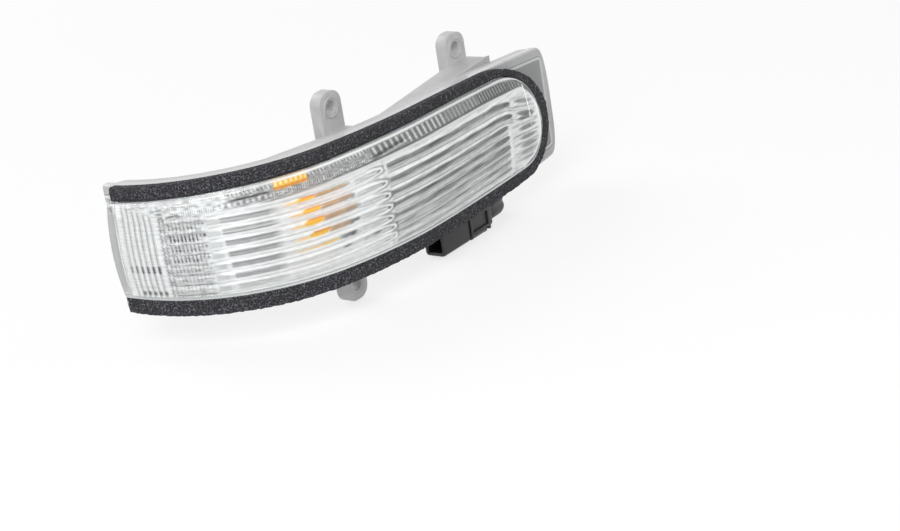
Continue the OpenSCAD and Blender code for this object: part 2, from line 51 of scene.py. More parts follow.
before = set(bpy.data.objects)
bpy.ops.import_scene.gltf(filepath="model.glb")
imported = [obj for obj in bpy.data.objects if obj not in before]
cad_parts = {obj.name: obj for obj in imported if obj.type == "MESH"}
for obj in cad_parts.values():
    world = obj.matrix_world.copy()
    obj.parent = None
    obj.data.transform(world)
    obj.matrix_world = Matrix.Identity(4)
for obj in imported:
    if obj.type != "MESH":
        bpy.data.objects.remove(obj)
CAD_BOX = [list(corner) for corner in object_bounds()]
FLOOR_Z = CAD_BOX[0][2]

# ---------------------------------------------------------------------------
# The lamp's curve, the same as in its solids: three arcs seen from above, in mm
# ---------------------------------------------------------------------------
HEAD_START = math.radians(97)
START = (-58.0, 57.4)
ARC_LENGTHS = (70.0, 40.0, 75.5)
ARC_RADII = (49.0, 130.0, 690.0)
CURVE_LEN = sum(ARC_LENGTHS)
TIP_Z = -8.0
FLANGE_FRONT, FLANGE_BACK = 1.5, -1.0
FOAM_FRONT, DOME_FRONT = 4.0, 6.0
FLOOR_LEVEL, INNER_LEVEL = -7.3, -5.5
DOME_END, DOME_TIP, DOME_POWER, FOAM_POWER = 173.8, -7.0, 2.25, 0.89
FLANGE_END, HOLLOW_END = 190.5, 172.4
# the bulb's place, and how far above and below it the two wire tubes lie
BULB_S, BULB_OFF, BULB_Z = 66.0, -0.5, 3.0
TUBE_APART = 4.2
# any seed will do: without one, Blender takes the tear noise's from the clock, and each run gives another foam
TEAR_SEED = 7


def arc_list():
    """Start length, radius, heading and centre of each arc."""
    arcs, done, head, at = [], 0.0, HEAD_START, np.array(START)
    for length, radius in zip(ARC_LENGTHS, ARC_RADII):
        centre = at + radius * np.array([math.sin(head), math.cos(head)])
        arcs.append((done, radius, head, centre))
        head -= length / radius
        at = centre - radius * np.array([math.sin(head), math.cos(head)])
        done += length
    return arcs


ARCS = arc_list()


def heading(s):
    """Direction of the curve at length s, in radians."""
    s = np.asarray(s, float)
    h = ARCS[0][2] - s / ARCS[0][1]
    for done, radius, head, _ in ARCS[1:]:
        h = np.where(s >= done, head - (s - done) / radius, h)
    return h


def plan(s, off):
    """Plan place, mm, of points at length s and off in front of the curve."""
    s, off = np.broadcast_arrays(np.asarray(s, float), np.asarray(off, float))
    h = heading(s)
    radius = np.full(s.shape, ARCS[0][1])
    cx = np.full(s.shape, ARCS[0][3][0])
    cy = np.full(s.shape, ARCS[0][3][1])
    for done, r, _, centre in ARCS[1:]:
        later = s >= done
        radius = np.where(later, r, radius)
        cx, cy = np.where(later, centre[0], cx), np.where(later, centre[1], cy)
    return cx - (radius + off) * np.sin(h), cy - (radius + off) * np.cos(h)


def lens_point(s, off, z):
    """One point in mm in the lens frame."""
    return np.array([*map(float, plan(s, off)), z])


EAR_UP_OUT = lens_point(90.64, -18.06, 24.0)
EAR_UP_IN = lens_point(161.74, -16.81, 21.0)
EAR_LOW = lens_point(79.98, -9.37, -28.5)


def metres(points):
    """Lens frame in mm to the shared frame in metres, whose zero is the upper outer screw bore."""
    return (np.asarray(points, float) - EAR_UP_OUT) / 1000


def place(s, off, z):
    """Points at length s, off in front and height z, in metres."""
    s, off, z = np.broadcast_arrays(*(np.asarray(v, float) for v in (s, off, z)))
    x, y = plan(s, off)
    return metres(np.stack([x, y, z], axis=-1))


def ramp(x, a, b):
    """From 0 at a to 1 at b."""
    return np.clip((np.asarray(x, float) - a) / (b - a), 0, 1)


def window(x, a, b, soft):
    """1 between a and b, fading over soft inside both ends."""
    return ramp(x, a, a + soft) * ramp(-np.asarray(x, float), -b, -b + soft)


def round_off(x, a, b, p):
    """From 1 at a to 0 at b, rounded like an ellipse of power p."""
    return np.maximum(0, 1 - ramp(x, a, b) ** p) ** (1 / p)


def top_edge(s):
    return 21 - (np.asarray(s, float) - 72) ** 2 / (2 * 845)


def bottom_edge(s):
    return -21.4 - 2.9 * np.asarray(s, float) / CURVE_LEN


def top_w(s):
    return 4.6 - 1.3 * ramp(s, 0, 150)


def low_w(s):
    return 5.4 - ramp(s, 60, CURVE_LEN)


def flange_top(s):
    return TIP_Z + (top_edge(s) - TIP_Z) * round_off(s, 184.5, FLANGE_END, 3)


def flange_bottom(s):
    return TIP_Z + (bottom_edge(s) - TIP_Z) * round_off(s, 184.5, FLANGE_END, 3)


def dome_top(s, wall=0.0):
    rise = top_edge(s) - top_w(s) - wall - DOME_TIP
    return DOME_TIP + rise * round_off(s, 150 - wall, DOME_END - wall, DOME_POWER)


def dome_bottom(s, wall=0.0):
    drop = bottom_edge(s) + low_w(s) + wall - DOME_TIP
    return DOME_TIP + drop * round_off(s, 160 - wall, DOME_END - wall, DOME_POWER)


# ---------------------------------------------------------------------------
# Mesh helpers
# ---------------------------------------------------------------------------
def link(name, mesh):
    obj = bpy.data.objects.new(name, mesh)
    bpy.context.scene.collection.objects.link(obj)
    return obj


def finish_mesh(mesh, angle):
    """Smooth faces with sharp edges where they turn by more than angle degrees."""
    mesh.validate()
    mesh.polygons.foreach_set("use_smooth", [True] * len(mesh.polygons))
    mesh.set_sharp_from_angle(angle=math.radians(angle))
    mesh.update()


def shell_faces(rows, ring, ends):
    """Faces of a surface through rows of closed rings. ends is 'cap' for two end faces, or 'join' to join the rows."""
    i = np.arange(rows if ends == "join" else rows - 1)[:, None]
    j = np.arange(ring)[None, :]
    nxt, here = ((i + 1) % rows) * ring, i * ring
    k = (j + 1) % ring
    quads = np.stack([here + j, nxt + j, nxt + k, here + k], axis=-1).reshape(-1, 4)
    faces = quads.tolist()
    if ends == "cap":
        faces += [list(range(ring)), list(range(rows * ring - 1, (rows - 1) * ring - 1, -1))]
    return faces


def volume(points, faces):
    """Six times the volume inside the faces, below 0 when they point inwards."""
    quads = np.array([f for f in faces if len(f) == 4])
    a, b, c, d = (points[quads[:, k]] for k in range(4))
    total = sum(np.einsum("ij,ij->i", a, np.cross(p, q)).sum() for p, q in ((b, c), (c, d)))
    for f in (f for f in faces if len(f) > 4):
        for k in range(1, len(f) - 1):
            total += np.dot(points[f[0]], np.cross(points[f[k]], points[f[k + 1]]))
    return total


def shells(name, parts, angle=35):
    """One object of closed surfaces. parts is a list of (grid, ends), grid being rows x ring x 3 in metres."""
    points, faces = [], []
    for grid, ends in parts:
        grid = np.asarray(grid, float)
        rows, ring = grid.shape[:2]
        flat = grid.reshape(-1, 3)
        own = shell_faces(rows, ring, ends)
        if volume(flat - flat.mean(axis=0), own) < 0:
            own = [f[::-1] for f in own]
        base = sum(len(p) for p in points)
        points.append(flat)
        faces += [[base + v for v in f] for f in own]
    mesh = bpy.data.meshes.new(name)
    mesh.from_pydata(np.concatenate(points).tolist(), [], faces)
    finish_mesh(mesh, angle)
    return link(name, mesh)


def applied(obj):
    """The object with its modifiers made part of its mesh."""
    done = bpy.data.meshes.new_from_object(obj.evaluated_get(bpy.context.evaluated_depsgraph_get()))
    old = obj.data
    obj.modifiers.clear()
    obj.data = done
    done.name = obj.name
    bpy.data.meshes.remove(old)
    return obj


def edit(mesh, work):
    """Runs work on the mesh's bmesh."""
    bm = bmesh.new()
    bm.from_mesh(mesh)
    work(bm)
    bm.to_mesh(mesh)
    bm.free()


def columns(rings):
    """Arrays of the levels and of the heights of rings of (level, height)."""
    return [np.stack([ring[k] for ring in rings], axis=1) for k in range(2)]


def dress(obj, material, slot, *nodes):
    """Material, CAD nodes that the piece stands for, and body of a finished piece; its slot is not used."""
    obj.data.materials.clear()
    obj.data.materials.append(material)
    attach(obj, "root")
    if nodes:
        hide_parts(*nodes)
    return obj


def dress_node(node, material):
    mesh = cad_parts[node].data
    mesh.materials.clear()
    mesh.materials.append(material)


def rounded_ring(x, y0, y1, z0, z1, r, n=4):
    """Ring of points in mm round a rectangle with rounded corners, across X."""
    pts = []
    for cy, cz, a0 in ((y1 - r, z1 - r, 0), (y0 + r, z1 - r, 90), (y0 + r, z0 + r, 180), (y1 - r, z0 + r, 270)):
        for k in range(n + 1):
            a = math.radians(a0 + 90 * k / n)
            pts.append((x, cy + r * math.cos(a), cz + r * math.sin(a)))
    return pts


def soft_box(x0, x1, y0, y1, z0, z1, r):
    """Rings of a box with rounded edges, in mm."""
    steps = [(x0, r), (x0 + 0.3 * r, 0.35 * r), (x0 + r, 0), (x1 - r, 0), (x1 - 0.3 * r, 0.35 * r), (x1, r)]
    return [rounded_ring(x, y0 + d, y1 - d, z0 + d, z1 - d, r) for x, d in steps]


# ---------------------------------------------------------------------------
# Node helper and colours
# ---------------------------------------------------------------------------
def srgb(code):
    """sRGB hex to linear RGBA."""
    parts = [int(code[k:k + 2], 16) / 255 for k in (1, 3, 5)]
    return tuple(c / 12.92 if c <= 0.04045 else ((c + 0.055) / 1.055) ** 2.4 for c in parts) + (1.0,)


def add(tree, kind, sockets=None, stops=(), **settings):
    """Adds a node. settings are its properties, stops the places and colours of its ramp, and sockets its inputs:
    a value, an output to link, or a node whose first output is linked."""
    node = tree.nodes.new(kind)
    for key, value in settings.items():
        setattr(node, key, value)
    for key, value in (sockets or {}).items():
        if isinstance(value, bpy.types.Node):
            value = value.outputs[0]
        if isinstance(value, bpy.types.NodeSocket):
            tree.links.new(value, node.inputs[key])
        else:
            node.inputs[key].default_value = value
    for _ in stops[2:]:
        node.color_ramp.elements.new(0.5)
    if stops:
        for element, (at, colour) in zip(node.color_ramp.elements, stops):
            element.position, element.color = at, colour
    return node


def new_material(name):
    """A material with its empty tree and its object coordinates, which are in metres."""
    material = bpy.data.materials.new(name)
    material.use_nodes = True
    tree = material.node_tree
    tree.nodes.clear()
    return material, tree, add(tree, "ShaderNodeTexCoord").outputs["Object"]


def grains(where, size_mm, detail=3.0, rough=0.55):
    """Inputs of a noise whose grains are about size_mm across."""
    return {"Vector": where, "Scale": 1000 / size_mm, "Detail": detail, "Roughness": rough}


def mixed(colour, k):
    """A colour made lighter or darker by the factor k."""
    return tuple(min(1.0, c * k) for c in colour[:3]) + (1.0,)


def seen_rays(tree):
    """1 on what the camera sees, also in gloss or through glass."""
    light = add(tree, "ShaderNodeLightPath")
    seen = light.outputs["Is Camera Ray"]
    for ray in ("Is Glossy Ray", "Is Transmission Ray"):
        seen = add(tree, "ShaderNodeMath", {0: seen, 1: light.outputs[ray]}, operation="MAXIMUM")
    return seen


# ---------------------------------------------------------------------------
# Materials
# ---------------------------------------------------------------------------
# Eroded grain, drawing lines and satin are finer than a pixel of the picture, so they are drawn coarse enough to show,
# at 0.15 to 1.2 mm. Noise lies between about these two values:
NOISE_LOW, NOISE_HIGH = 0.3, 0.7


def coated(name, colour, tones, roughness, grain_mm, cloud=None, bump=None, drawn=False, **settings):
    """A material whose roughness follows a grain of grain_mm, from roughness[0] to roughness[1], and whose colour is
    taken from tones[0] to tones[1] times as light by clouding of cloud (size in mm, detail), or by the same grain.
    bump is the grain's depth in mm and its strength, drawn draws the grain out along X, and settings are inputs."""
    material, tree, where = new_material(name)
    if drawn:
        where = add(tree, "ShaderNodeMapping", {"Vector": where, "Scale": (0.15, 1.0, 1.0)}).outputs["Vector"]
    fine = add(tree, "ShaderNodeTexNoise", grains(where, grain_mm))
    soft = add(tree, "ShaderNodeTexNoise", grains(where, *cloud)) if cloud else fine
    sockets = {key.replace("_", " "): value for key, value in settings.items()}
    sockets["Base Color"] = add(tree, "ShaderNodeValToRGB", {"Fac": soft},
                                [(NOISE_LOW, mixed(colour, tones[0])), (NOISE_HIGH, mixed(colour, tones[1]))])
    sockets["Roughness"] = add(tree, "ShaderNodeMapRange", {"Value": fine, "From Min": NOISE_LOW,
                                                            "From Max": NOISE_HIGH, "To Min": roughness[0],
                                                            "To Max": roughness[1]})
    if bump:
        sockets["Normal"] = add(tree, "ShaderNodeBump", {"Height": fine, "Distance": bump[0] / 1000,
                                                         "Strength": bump[1]})
    shader = add(tree, "ShaderNodeBsdfPrincipled", sockets)
    add(tree, "ShaderNodeOutputMaterial", {"Surface": shader})
    return material


def moulded_plastic(name, colour, roughness, grain_mm, depth_mm, ior=1.53, clouding=0.06):
    """Moulded plastic: an even colour with faint clouding, and a fine eroded grain that softens its gloss."""
    return coated(name, colour, (1 - clouding, 1 + clouding), (roughness - 0.05, roughness + 0.05), grain_mm,
                  (6.0, 2.0), (depth_mm, 0.5), IOR=ior)


def bright_tray(colour):
    """Moulded tray, bright vacuum metal on ABS: silver with a soft satin from the moulding under it."""
    return coated("Vacuum metallised ABS", colour, (0.92, 1), (0.3, 0.4), 0.8, (9.0,), (0.01, 0.3), Metallic=1.0)


def amber_glass(colour):
    """Bulb glass with a fired amber lacquer: deep orange, half clear, with a glossy skin."""
    return coated("Amber lacquered glass", colour, (0.85, 1), (0.06, 0.14), 1.0, (3.0,), IOR=1.5,
                  Transmission_Weight=0.35, Coat_Weight=0.5, Coat_Roughness=0.05)


def drawn_metal(name, colour, roughness):
    """Drawn or stamped metal: fine scratches that run in the direction it was drawn in."""
    return coated(name, colour, (0.8, 1), (roughness - 0.06, roughness + 0.06), 0.15, bump=(0.01, 0.4), drawn=True,
                  Metallic=1.0)


def clear_acrylic(colour):
    """Clear injection-moulded acrylic: bright, bends the view. A share of it, "veil", scatters light instead, in the
    colour of the light and shade painted on the inner face."""
    material, tree, where = new_material("Clear moulded acrylic")
    wave = add(tree, "ShaderNodeTexNoise", grains(where, 5.0, 1.0))
    gloss = add(tree, "ShaderNodeMapRange", {"Value": add(tree, "ShaderNodeTexNoise", grains(where, 1.2)),
                                             "From Min": NOISE_LOW, "From Max": NOISE_HIGH, "To Min": 0.015,
                                             "To Max": 0.05})
    bump = add(tree, "ShaderNodeBump", {"Height": wave, "Distance": 0.00003, "Strength": 0.3})
    # painted light and shade: the colour held on the lens's inner face
    painted_light_shade = add(tree, "ShaderNodeAttribute", attribute_name="painted_light_shade")
    veil = add(tree, "ShaderNodeAttribute", attribute_name="veil")
    tint = add(tree, "ShaderNodeMix", {0: 1.0, 6: painted_light_shade, 7: colour}, data_type="RGBA", blend_type="MULTIPLY")
    clear = add(tree, "ShaderNodeMath", {0: 1.0, 1: veil.outputs["Fac"]}, operation="SUBTRACT")
    shader = add(tree, "ShaderNodeBsdfPrincipled", {"Base Color": tint.outputs[2], "Roughness": gloss, "IOR": 1.49,
                                                    "Transmission Weight": clear, "Normal": bump})
    light = add(tree, "ShaderNodeLightPath")
    through = add(tree, "ShaderNodeBsdfTransparent", {"Color": srgb("#f4f6f6")})
    mix = add(tree, "ShaderNodeMixShader", {0: light.outputs["Is Shadow Ray"], 1: shader, 2: through})
    add(tree, "ShaderNodeOutputMaterial", {"Surface": mix})
    return material


def foam_rubber(colour):
    """Open-cell foam rubber: cut cells about half a millimetre across, with painted highlights on their torn rims and
    painted shade, near black, inside them.
    """
    material, tree, where = new_material("Open-cell foam rubber")
    cells = add(tree, "ShaderNodeTexVoronoi", {"Vector": where, "Scale": 1000 / 0.55}, feature="F1")
    fine = add(tree, "ShaderNodeTexNoise", grains(where, 0.45, 4.0, 0.7))
    both = add(tree, "ShaderNodeMath", {0: cells, 1: fine}, operation="MULTIPLY")
    # painted light and shade: cell rims lighter and cell hollows darker, following the bump's height
    tint = add(tree, "ShaderNodeValToRGB", {"Fac": both}, [(0.05, mixed(colour, 0.45)), (0.24, colour),
                                                           (0.42, mixed(colour, 3.2)), (0.55, mixed(colour, 7))])
    bump = add(tree, "ShaderNodeBump", {"Height": both, "Distance": 0.0002, "Strength": 0.8})
    shader = add(tree, "ShaderNodeBsdfPrincipled", {"Base Color": tint, "Roughness": 0.92,
                                                    "Specular IOR Level": 0.25, "Normal": bump})
    add(tree, "ShaderNodeOutputMaterial", {"Surface": shader})
    return material


def pale_stage(name, colour, lift):
    """Pale studio sheet: it takes the shadow, and the camera sees it lifted to white."""
    material, tree, where = new_material(name)
    soft = add(tree, "ShaderNodeTexNoise", grains(where, 400.0, 1.0))
    tint = add(tree, "ShaderNodeValToRGB", {"Fac": soft}, [(NOISE_LOW, mixed(colour, 0.98)), (NOISE_HIGH, colour)])
    plain = add(tree, "ShaderNodeBsdfDiffuse", {"Color": tint})
    glow = add(tree, "ShaderNodeEmission", {"Color": (1, 1, 1, 1), "Strength": 1.0})
    part = add(tree, "ShaderNodeMath", {0: seen_rays(tree), 1: lift}, operation="MULTIPLY")
    mix = add(tree, "ShaderNodeMixShader", {0: part, 1: plain, 2: glow})
    add(tree, "ShaderNodeOutputMaterial", {"Surface": mix})
    return material


# ---------------------------------------------------------------------------
# Sizes and colours that a user may change
# ---------------------------------------------------------------------------
def size(name, text, value_mm):
    return bpy.props.FloatProperty(name=name, description=text, default=value_mm / 1000, min=0,
                                   subtype="DISTANCE", unit="LENGTH", precision=5)


def paint(name, text, code):
    return bpy.props.FloatVectorProperty(name=name, description=text, default=srgb(code), size=4,
                                         subtype="COLOR", min=0, max=1)


class LampSizes(bpy.types.PropertyGroup):
    flute_pitch: size("Flute pitch", "Height of one flute inside the lens", 3.45)
    flute_depth: size("Flute depth", "How far a flute stands out of the lens's inner face", 0.7)
    rib_pitch: size("End rib pitch", "Spacing of the upright ribs at the outboard end", 1.74)
    bead_pitch: size("Bead pitch", "Spacing of the beads beside the end ribs", 1.1)
    strip_pitch: size("Strip pitch", "Spacing of the fine ribs along the top of the lens", 1.6)
    step_height: size("Tray step", "Height of the steps across the bright tray", 1.3)
    edge_round: size("Edge round", "Rounding of the housing's moulded edges", 0.35)
    foam_tear: size("Foam tear", "Roughness of the cut faces of the foam", 0.16)
    wire_width: size("Wire", "Diameter of a wire over its insulation", 2.0)
    collar_radius: size("Collar radius", "Radius of the moulded ring round a screw hole", 3.1)
    collar_height: size("Collar height", "Half thickness of that ring", 0.22)


class LampColours(bpy.types.PropertyGroup):
    housing: paint("Housing", "Grey ABS of the housing", "#b4b5b4")
    lens: paint("Lens", "Tint of the clear lens", "#fbfcfc")
    tray: paint("Tray", "Bright tray behind the lens", "#dcdee0")
    foam: paint("Foam", "Foam gasket", "#2e2e31")
    amber: paint("Amber", "Amber bulb", "#f59300")
    holder: paint("Holder", "Bulb holder", "#1c1c1e")
    rubber: paint("Rubber", "Grommets and seals", "#161617")
    wire_light: paint("Light wire", "Insulation of the light wire", "#d9d8d4")
    wire_dark: paint("Dark wire", "Insulation of the dark wire", "#232325")
    sleeve: paint("Sleeve", "Sleeve over the two wires", "#141415")
    connector: paint("Connector", "Connector body", "#1b1b1d")
    lock: paint("Lock", "Connector lock", "#5b5c60")
    brass: paint("Brass", "Contacts and pins", "#c9a45c")
    steel: paint("Wire steel", "Filament and its leads", "#a9a8a6")
    floor: paint("Floor", "Studio floor and backdrop", "#f4f4f4")


# ---------------------------------------------------------------------------
# Geometry node trees
# ---------------------------------------------------------------------------
def node_tree(name, inputs):
    """A geometry node tree with a geometry input and the named inputs given as (name, socket type, default)."""
    tree = bpy.data.node_groups.new(name, "GeometryNodeTree")
    tree.interface.new_socket(name="Geometry", in_out="INPUT", socket_type="NodeSocketGeometry")
    ids = {}
    for label, kind, value in inputs:
        item = tree.interface.new_socket(name=label, in_out="INPUT", socket_type=kind)
        if value is not None:
            item.default_value = value
        ids[label] = item.identifier
    tree.interface.new_socket(name="Geometry", in_out="OUTPUT", socket_type="NodeSocketGeometry")
    return tree, add(tree, "NodeGroupInput"), ids


def end_tree(tree, geometry, entry):
    """Ends a tree in real geometry with its material."""
    real = add(tree, "GeometryNodeRealizeInstances", {"Geometry": geometry})
    coat = add(tree, "GeometryNodeSetMaterial", {"Geometry": real, "Material": entry.outputs["Material"]})
    add(tree, "NodeGroupOutput", {"Geometry": coat})


def strand_tree():
    """Round strand along a line of points."""
    tree, entry, ids = node_tree("Round strand", [("Radius", "NodeSocketFloat", 0.001), ("Sides", "NodeSocketInt", 16),
                                                  ("Material", "NodeSocketMaterial", None)])
    line = add(tree, "GeometryNodeMeshToCurve", {"Mesh": entry.outputs["Geometry"]})
    profile = add(tree, "GeometryNodeCurvePrimitiveCircle",
                  {"Radius": entry.outputs["Radius"], "Resolution": entry.outputs["Sides"]})
    skin = add(tree, "GeometryNodeCurveToMesh", {"Curve": line, "Profile Curve": profile, "Fill Caps": True})
    end_tree(tree, skin, entry)
    return tree, ids


def ring_tree():
    """Round rings on points, square to each point's aim."""
    tree, entry, ids = node_tree("Rings on points", [("Ring radius", "NodeSocketFloat", 0.003),
                                                     ("Thickness", "NodeSocketFloat", 0.0003),
                                                     ("Around", "NodeSocketInt", 40),
                                                     ("Material", "NodeSocketMaterial", None)])
    circle = add(tree, "GeometryNodeCurvePrimitiveCircle",
                 {"Radius": entry.outputs["Ring radius"], "Resolution": entry.outputs["Around"]})
    profile = add(tree, "GeometryNodeCurvePrimitiveCircle", {"Radius": entry.outputs["Thickness"], "Resolution": 10})
    ring = add(tree, "GeometryNodeCurveToMesh", {"Curve": circle, "Profile Curve": profile})
    aim = add(tree, "GeometryNodeInputNamedAttribute", {"Name": "aim"}, data_type="FLOAT_VECTOR")
    turn = add(tree, "FunctionNodeAlignRotationToVector", {"Vector": aim.outputs["Attribute"]}, axis="Z")
    spots = add(tree, "GeometryNodeInstanceOnPoints",
                {"Points": entry.outputs["Geometry"], "Instance": ring, "Rotation": turn})
    end_tree(tree, spots, entry)
    return tree, ids


def grown(name, points, edges, tree_and_ids, values, aims=None):
    """A plain mesh made by a tree from points, with its inputs set by their identifiers."""
    mesh = bpy.data.meshes.new(name)
    mesh.from_pydata([tuple(p) for p in points], edges, [])
    if aims is not None:
        layer = mesh.attributes.new("aim", "FLOAT_VECTOR", "POINT")
        layer.data.foreach_set("vector", np.asarray(aims, float).ravel())
    obj = link(name, mesh)
    tree, ids = tree_and_ids
    modifier = obj.modifiers.new("Shape", "NODES")
    modifier.node_group = tree
    for label, value in values.items():
        modifier[ids[label]] = value
    applied(obj)
    finish_mesh(obj.data, 50)
    return obj


def joined(name, objects):
    """One object from several, its meshes put together."""
    bm = bmesh.new()
    for obj in objects:
        bm.from_mesh(obj.data)
    mesh = bpy.data.meshes.new(name)
    bm.to_mesh(mesh)
    bm.free()
    for obj in objects:
        bpy.data.objects.remove(obj)
    finish_mesh(mesh, 35)
    return link(name, mesh)


# ---------------------------------------------------------------------------
# Shapes that several pieces share
# ---------------------------------------------------------------------------
BULB_TURN = float(heading(BULB_S))
TUBE_MOUTH, TUBE_ROOT = lens_point(117.03, -17.85, BULB_Z), lens_point(77.69, -6.5, BULB_Z)
TUBE_WAY = (TUBE_ROOT - TUBE_MOUTH) / np.linalg.norm(TUBE_ROOT - TUBE_MOUTH)
PLUG = np.array([25.0, 2.4, -33.6])
PLUG_W, PLUG_H = 7.6, 9.2
PLUG_BACK = np.array([53.0, 6.2, -29.0])


def by_bulb(x, y, z):
    """Point in mm: x along the bulb to its holder, y towards the back, z up from its middle."""
    cos, sin = math.cos(BULB_TURN), math.sin(BULB_TURN)
    return lens_point(BULB_S, BULB_OFF, BULB_Z) + (x * cos + y * sin, -x * sin + y * cos, z)


def on_tube(t, side):
    """Point in mm on the middle line of a wire tube, t from its mouth."""
    return TUBE_MOUTH + t * TUBE_WAY + (0, 0, side * TUBE_APART)


def spline(p, t):
    """Point at t on a smooth curve through the points p, t being 1 at the second."""
    n = len(p) - 1
    k = min(int(t), n - 1)
    u = t - k
    a, b, c, d = p[max(k - 1, 0)], p[k], p[k + 1], p[min(k + 2, n)]
    return 0.5 * (2 * b + (c - a) * u + (2 * a - 5 * b + 4 * c - d) * u * u + (3 * b - a - 3 * c + d) * u ** 3)


def tangent(p, t):
    """Unit vector along that curve at t."""
    v = spline(p, min(t + 0.02, len(p) - 1)) - spline(p, max(t - 0.02, 0))
    return v / np.linalg.norm(v)


def sleeve_route():
    """The sleeve's points in mm, from its cut end to the connector."""
    way = [(125.05, -14.68, 3.6), (132.26, -12.58, -0.2), (140.46, -11.72, -5.9), (148.72, -11.56, -13.3),
           (155.34, -11.28, -20.4), (158.12, -8.76, -26.4), (156.26, -4.95, -29.4)]
    return [lens_point(*stop) for stop in way] + [PLUG_BACK + (3.6, 0, 0), PLUG_BACK]


def across(d):
    """Unit vector square to d and as near up as can be."""
    up = np.array([0, 0, 1.0]) - d[2] * d
    return up / np.linalg.norm(up)


def wire_route(side):
    """One wire's points in mm, from the bulb holder to its pin."""
    route = sleeve_route()
    start = [by_bulb(15.0, y, side * 1.7) for y in (0.5, 2.2, 4.7, 7.2)]
    start += [on_tube(t, side) for t in (27.5, 17, 9, 3, -1.5, -3.5)]
    middle = [p + side * 1.3 * across(tangent(route, k)) for k, p in enumerate(route)]
    end = [np.array([PLUG[0] + x, PLUG_BACK[1], PLUG_BACK[2] + side * 1.5]) for x in (25, 20, 17)]
    return start + middle + end


# ---------------------------------------------------------------------------
# Operators
# ---------------------------------------------------------------------------
class LAMP_OT_housing(bpy.types.Operator):
    """Makes the grey housing, with rounded edges, collars at its screw holes and marks of its ejector pins"""
    bl_idname = "lamp.housing"
    bl_label = "Housing"

    def execute(self, context):
        sizes, colours = context.scene.lamp_sizes, context.scene.lamp_colours
        # ABS takes an even grey; the tool's eroded grain keeps it satin
        material = moulded_plastic("Moulded grey ABS", tuple(colours.housing), 0.42, 0.35, 0.02)
        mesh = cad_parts["housing"].data.copy()
        mesh.name = "housing_shell"
        mesh.materials.clear()
        edit(mesh, self.merge)
        edit(mesh, lambda bm: bmesh.ops.dissolve_limit(bm, angle_limit=math.radians(1.0), verts=bm.verts,
                                                       edges=bm.edges))
        shell = link("housing_shell", mesh)
        bevel = shell.modifiers.new("Rounded edges", "BEVEL")
        bevel.width, bevel.segments, bevel.limit_method = sizes.edge_round, 2, "ANGLE"
        bevel.angle_limit = math.radians(38)
        bevel.use_clamp_overlap = True
        applied(shell)
        spots = [metres(ear + (0, y, 0)) for ear in (EAR_UP_OUT, EAR_UP_IN, EAR_LOW) for y in (-2, 2)]
        rings = ring_tree()
        collars = grown("collars", spots, [], rings,
                        {"Ring radius": sizes.collar_radius, "Thickness": sizes.collar_height, "Around": 48,
                         "Material": material}, [(0, 1, 0)] * len(spots))
        marks = [(142, 9), (142, -14), (176, 6), (176, -14), (30, 10), (30, -12)]
        spots = [place(s, FLOOR_LEVEL - 0.05, z) for s, z in marks]
        aims = [(math.sin(float(heading(s))), math.cos(float(heading(s))), 0) for s, _ in marks]
        pins = grown("ejector_marks", spots, [], rings,
                     {"Ring radius": 0.0021, "Thickness": 0.00018, "Around": 32, "Material": material}, aims)
        piece = joined("housing_moulding", [shell, collars, pins])
        dress(piece, material, "housing_grey", "housing")
        return {"FINISHED"}

    def merge(self, bm):
        """Joins the vertices that the CAD mesh holds more than once."""
        bmesh.ops.remove_doubles(bm, verts=bm.verts, dist=2e-6)
        bmesh.ops.dissolve_degenerate(bm, edges=bm.edges, dist=1e-6)


def hump(x, half, soft):
    """1 while x is within half of zero, fading over soft outside it."""
    return ramp(-np.abs(x), -half - soft, -half)


def fine_line(x, width):
    """1 at zero, fading like a bell of the given width."""
    return np.exp(-(np.asarray(x, float) / width) ** 2)


def streaks(s, z, along, across, seed):
    """Noise from -1 to 1, with streaks about along by across mm."""
    s, z = np.broadcast_arrays(s, z)
    values = [noise.noise(Vector((a / along, b / across, seed))) for a, b in zip(s.ravel(), z.ravel())]
    return np.clip(2.0 * np.array(values).reshape(s.shape), -1, 1)


# Spacing in mm of the flutes and of the upright end ribs, and the heights of the flutes inboard of their tips, where
# they fan out: that of flute 0 at FAN_S, the step to the next, its growth, the fall along the lens and its growth
FLUTE_STEP, END_RIB_STEP = 3.45, 1.74
FAN_S, FAN_LOW, FAN_STEP, FAN_GROWTH, FAN_FALL, FAN_TILT = 113, -0.95, 3.72, 0.16, 0.025, 0.005


def row_outboard(k):
    """Middle height of flute k between the beads and the flute tips."""
    return 0.5 + FLUTE_STEP * k


def row_inboard(k, s):
    """Middle height of flute k from the flute tips to the inboard end, where the flutes fan a little."""
    return FAN_LOW + FAN_STEP * k + FAN_GROWTH * k * k - (FAN_FALL + FAN_TILT * k) * (s - FAN_S)


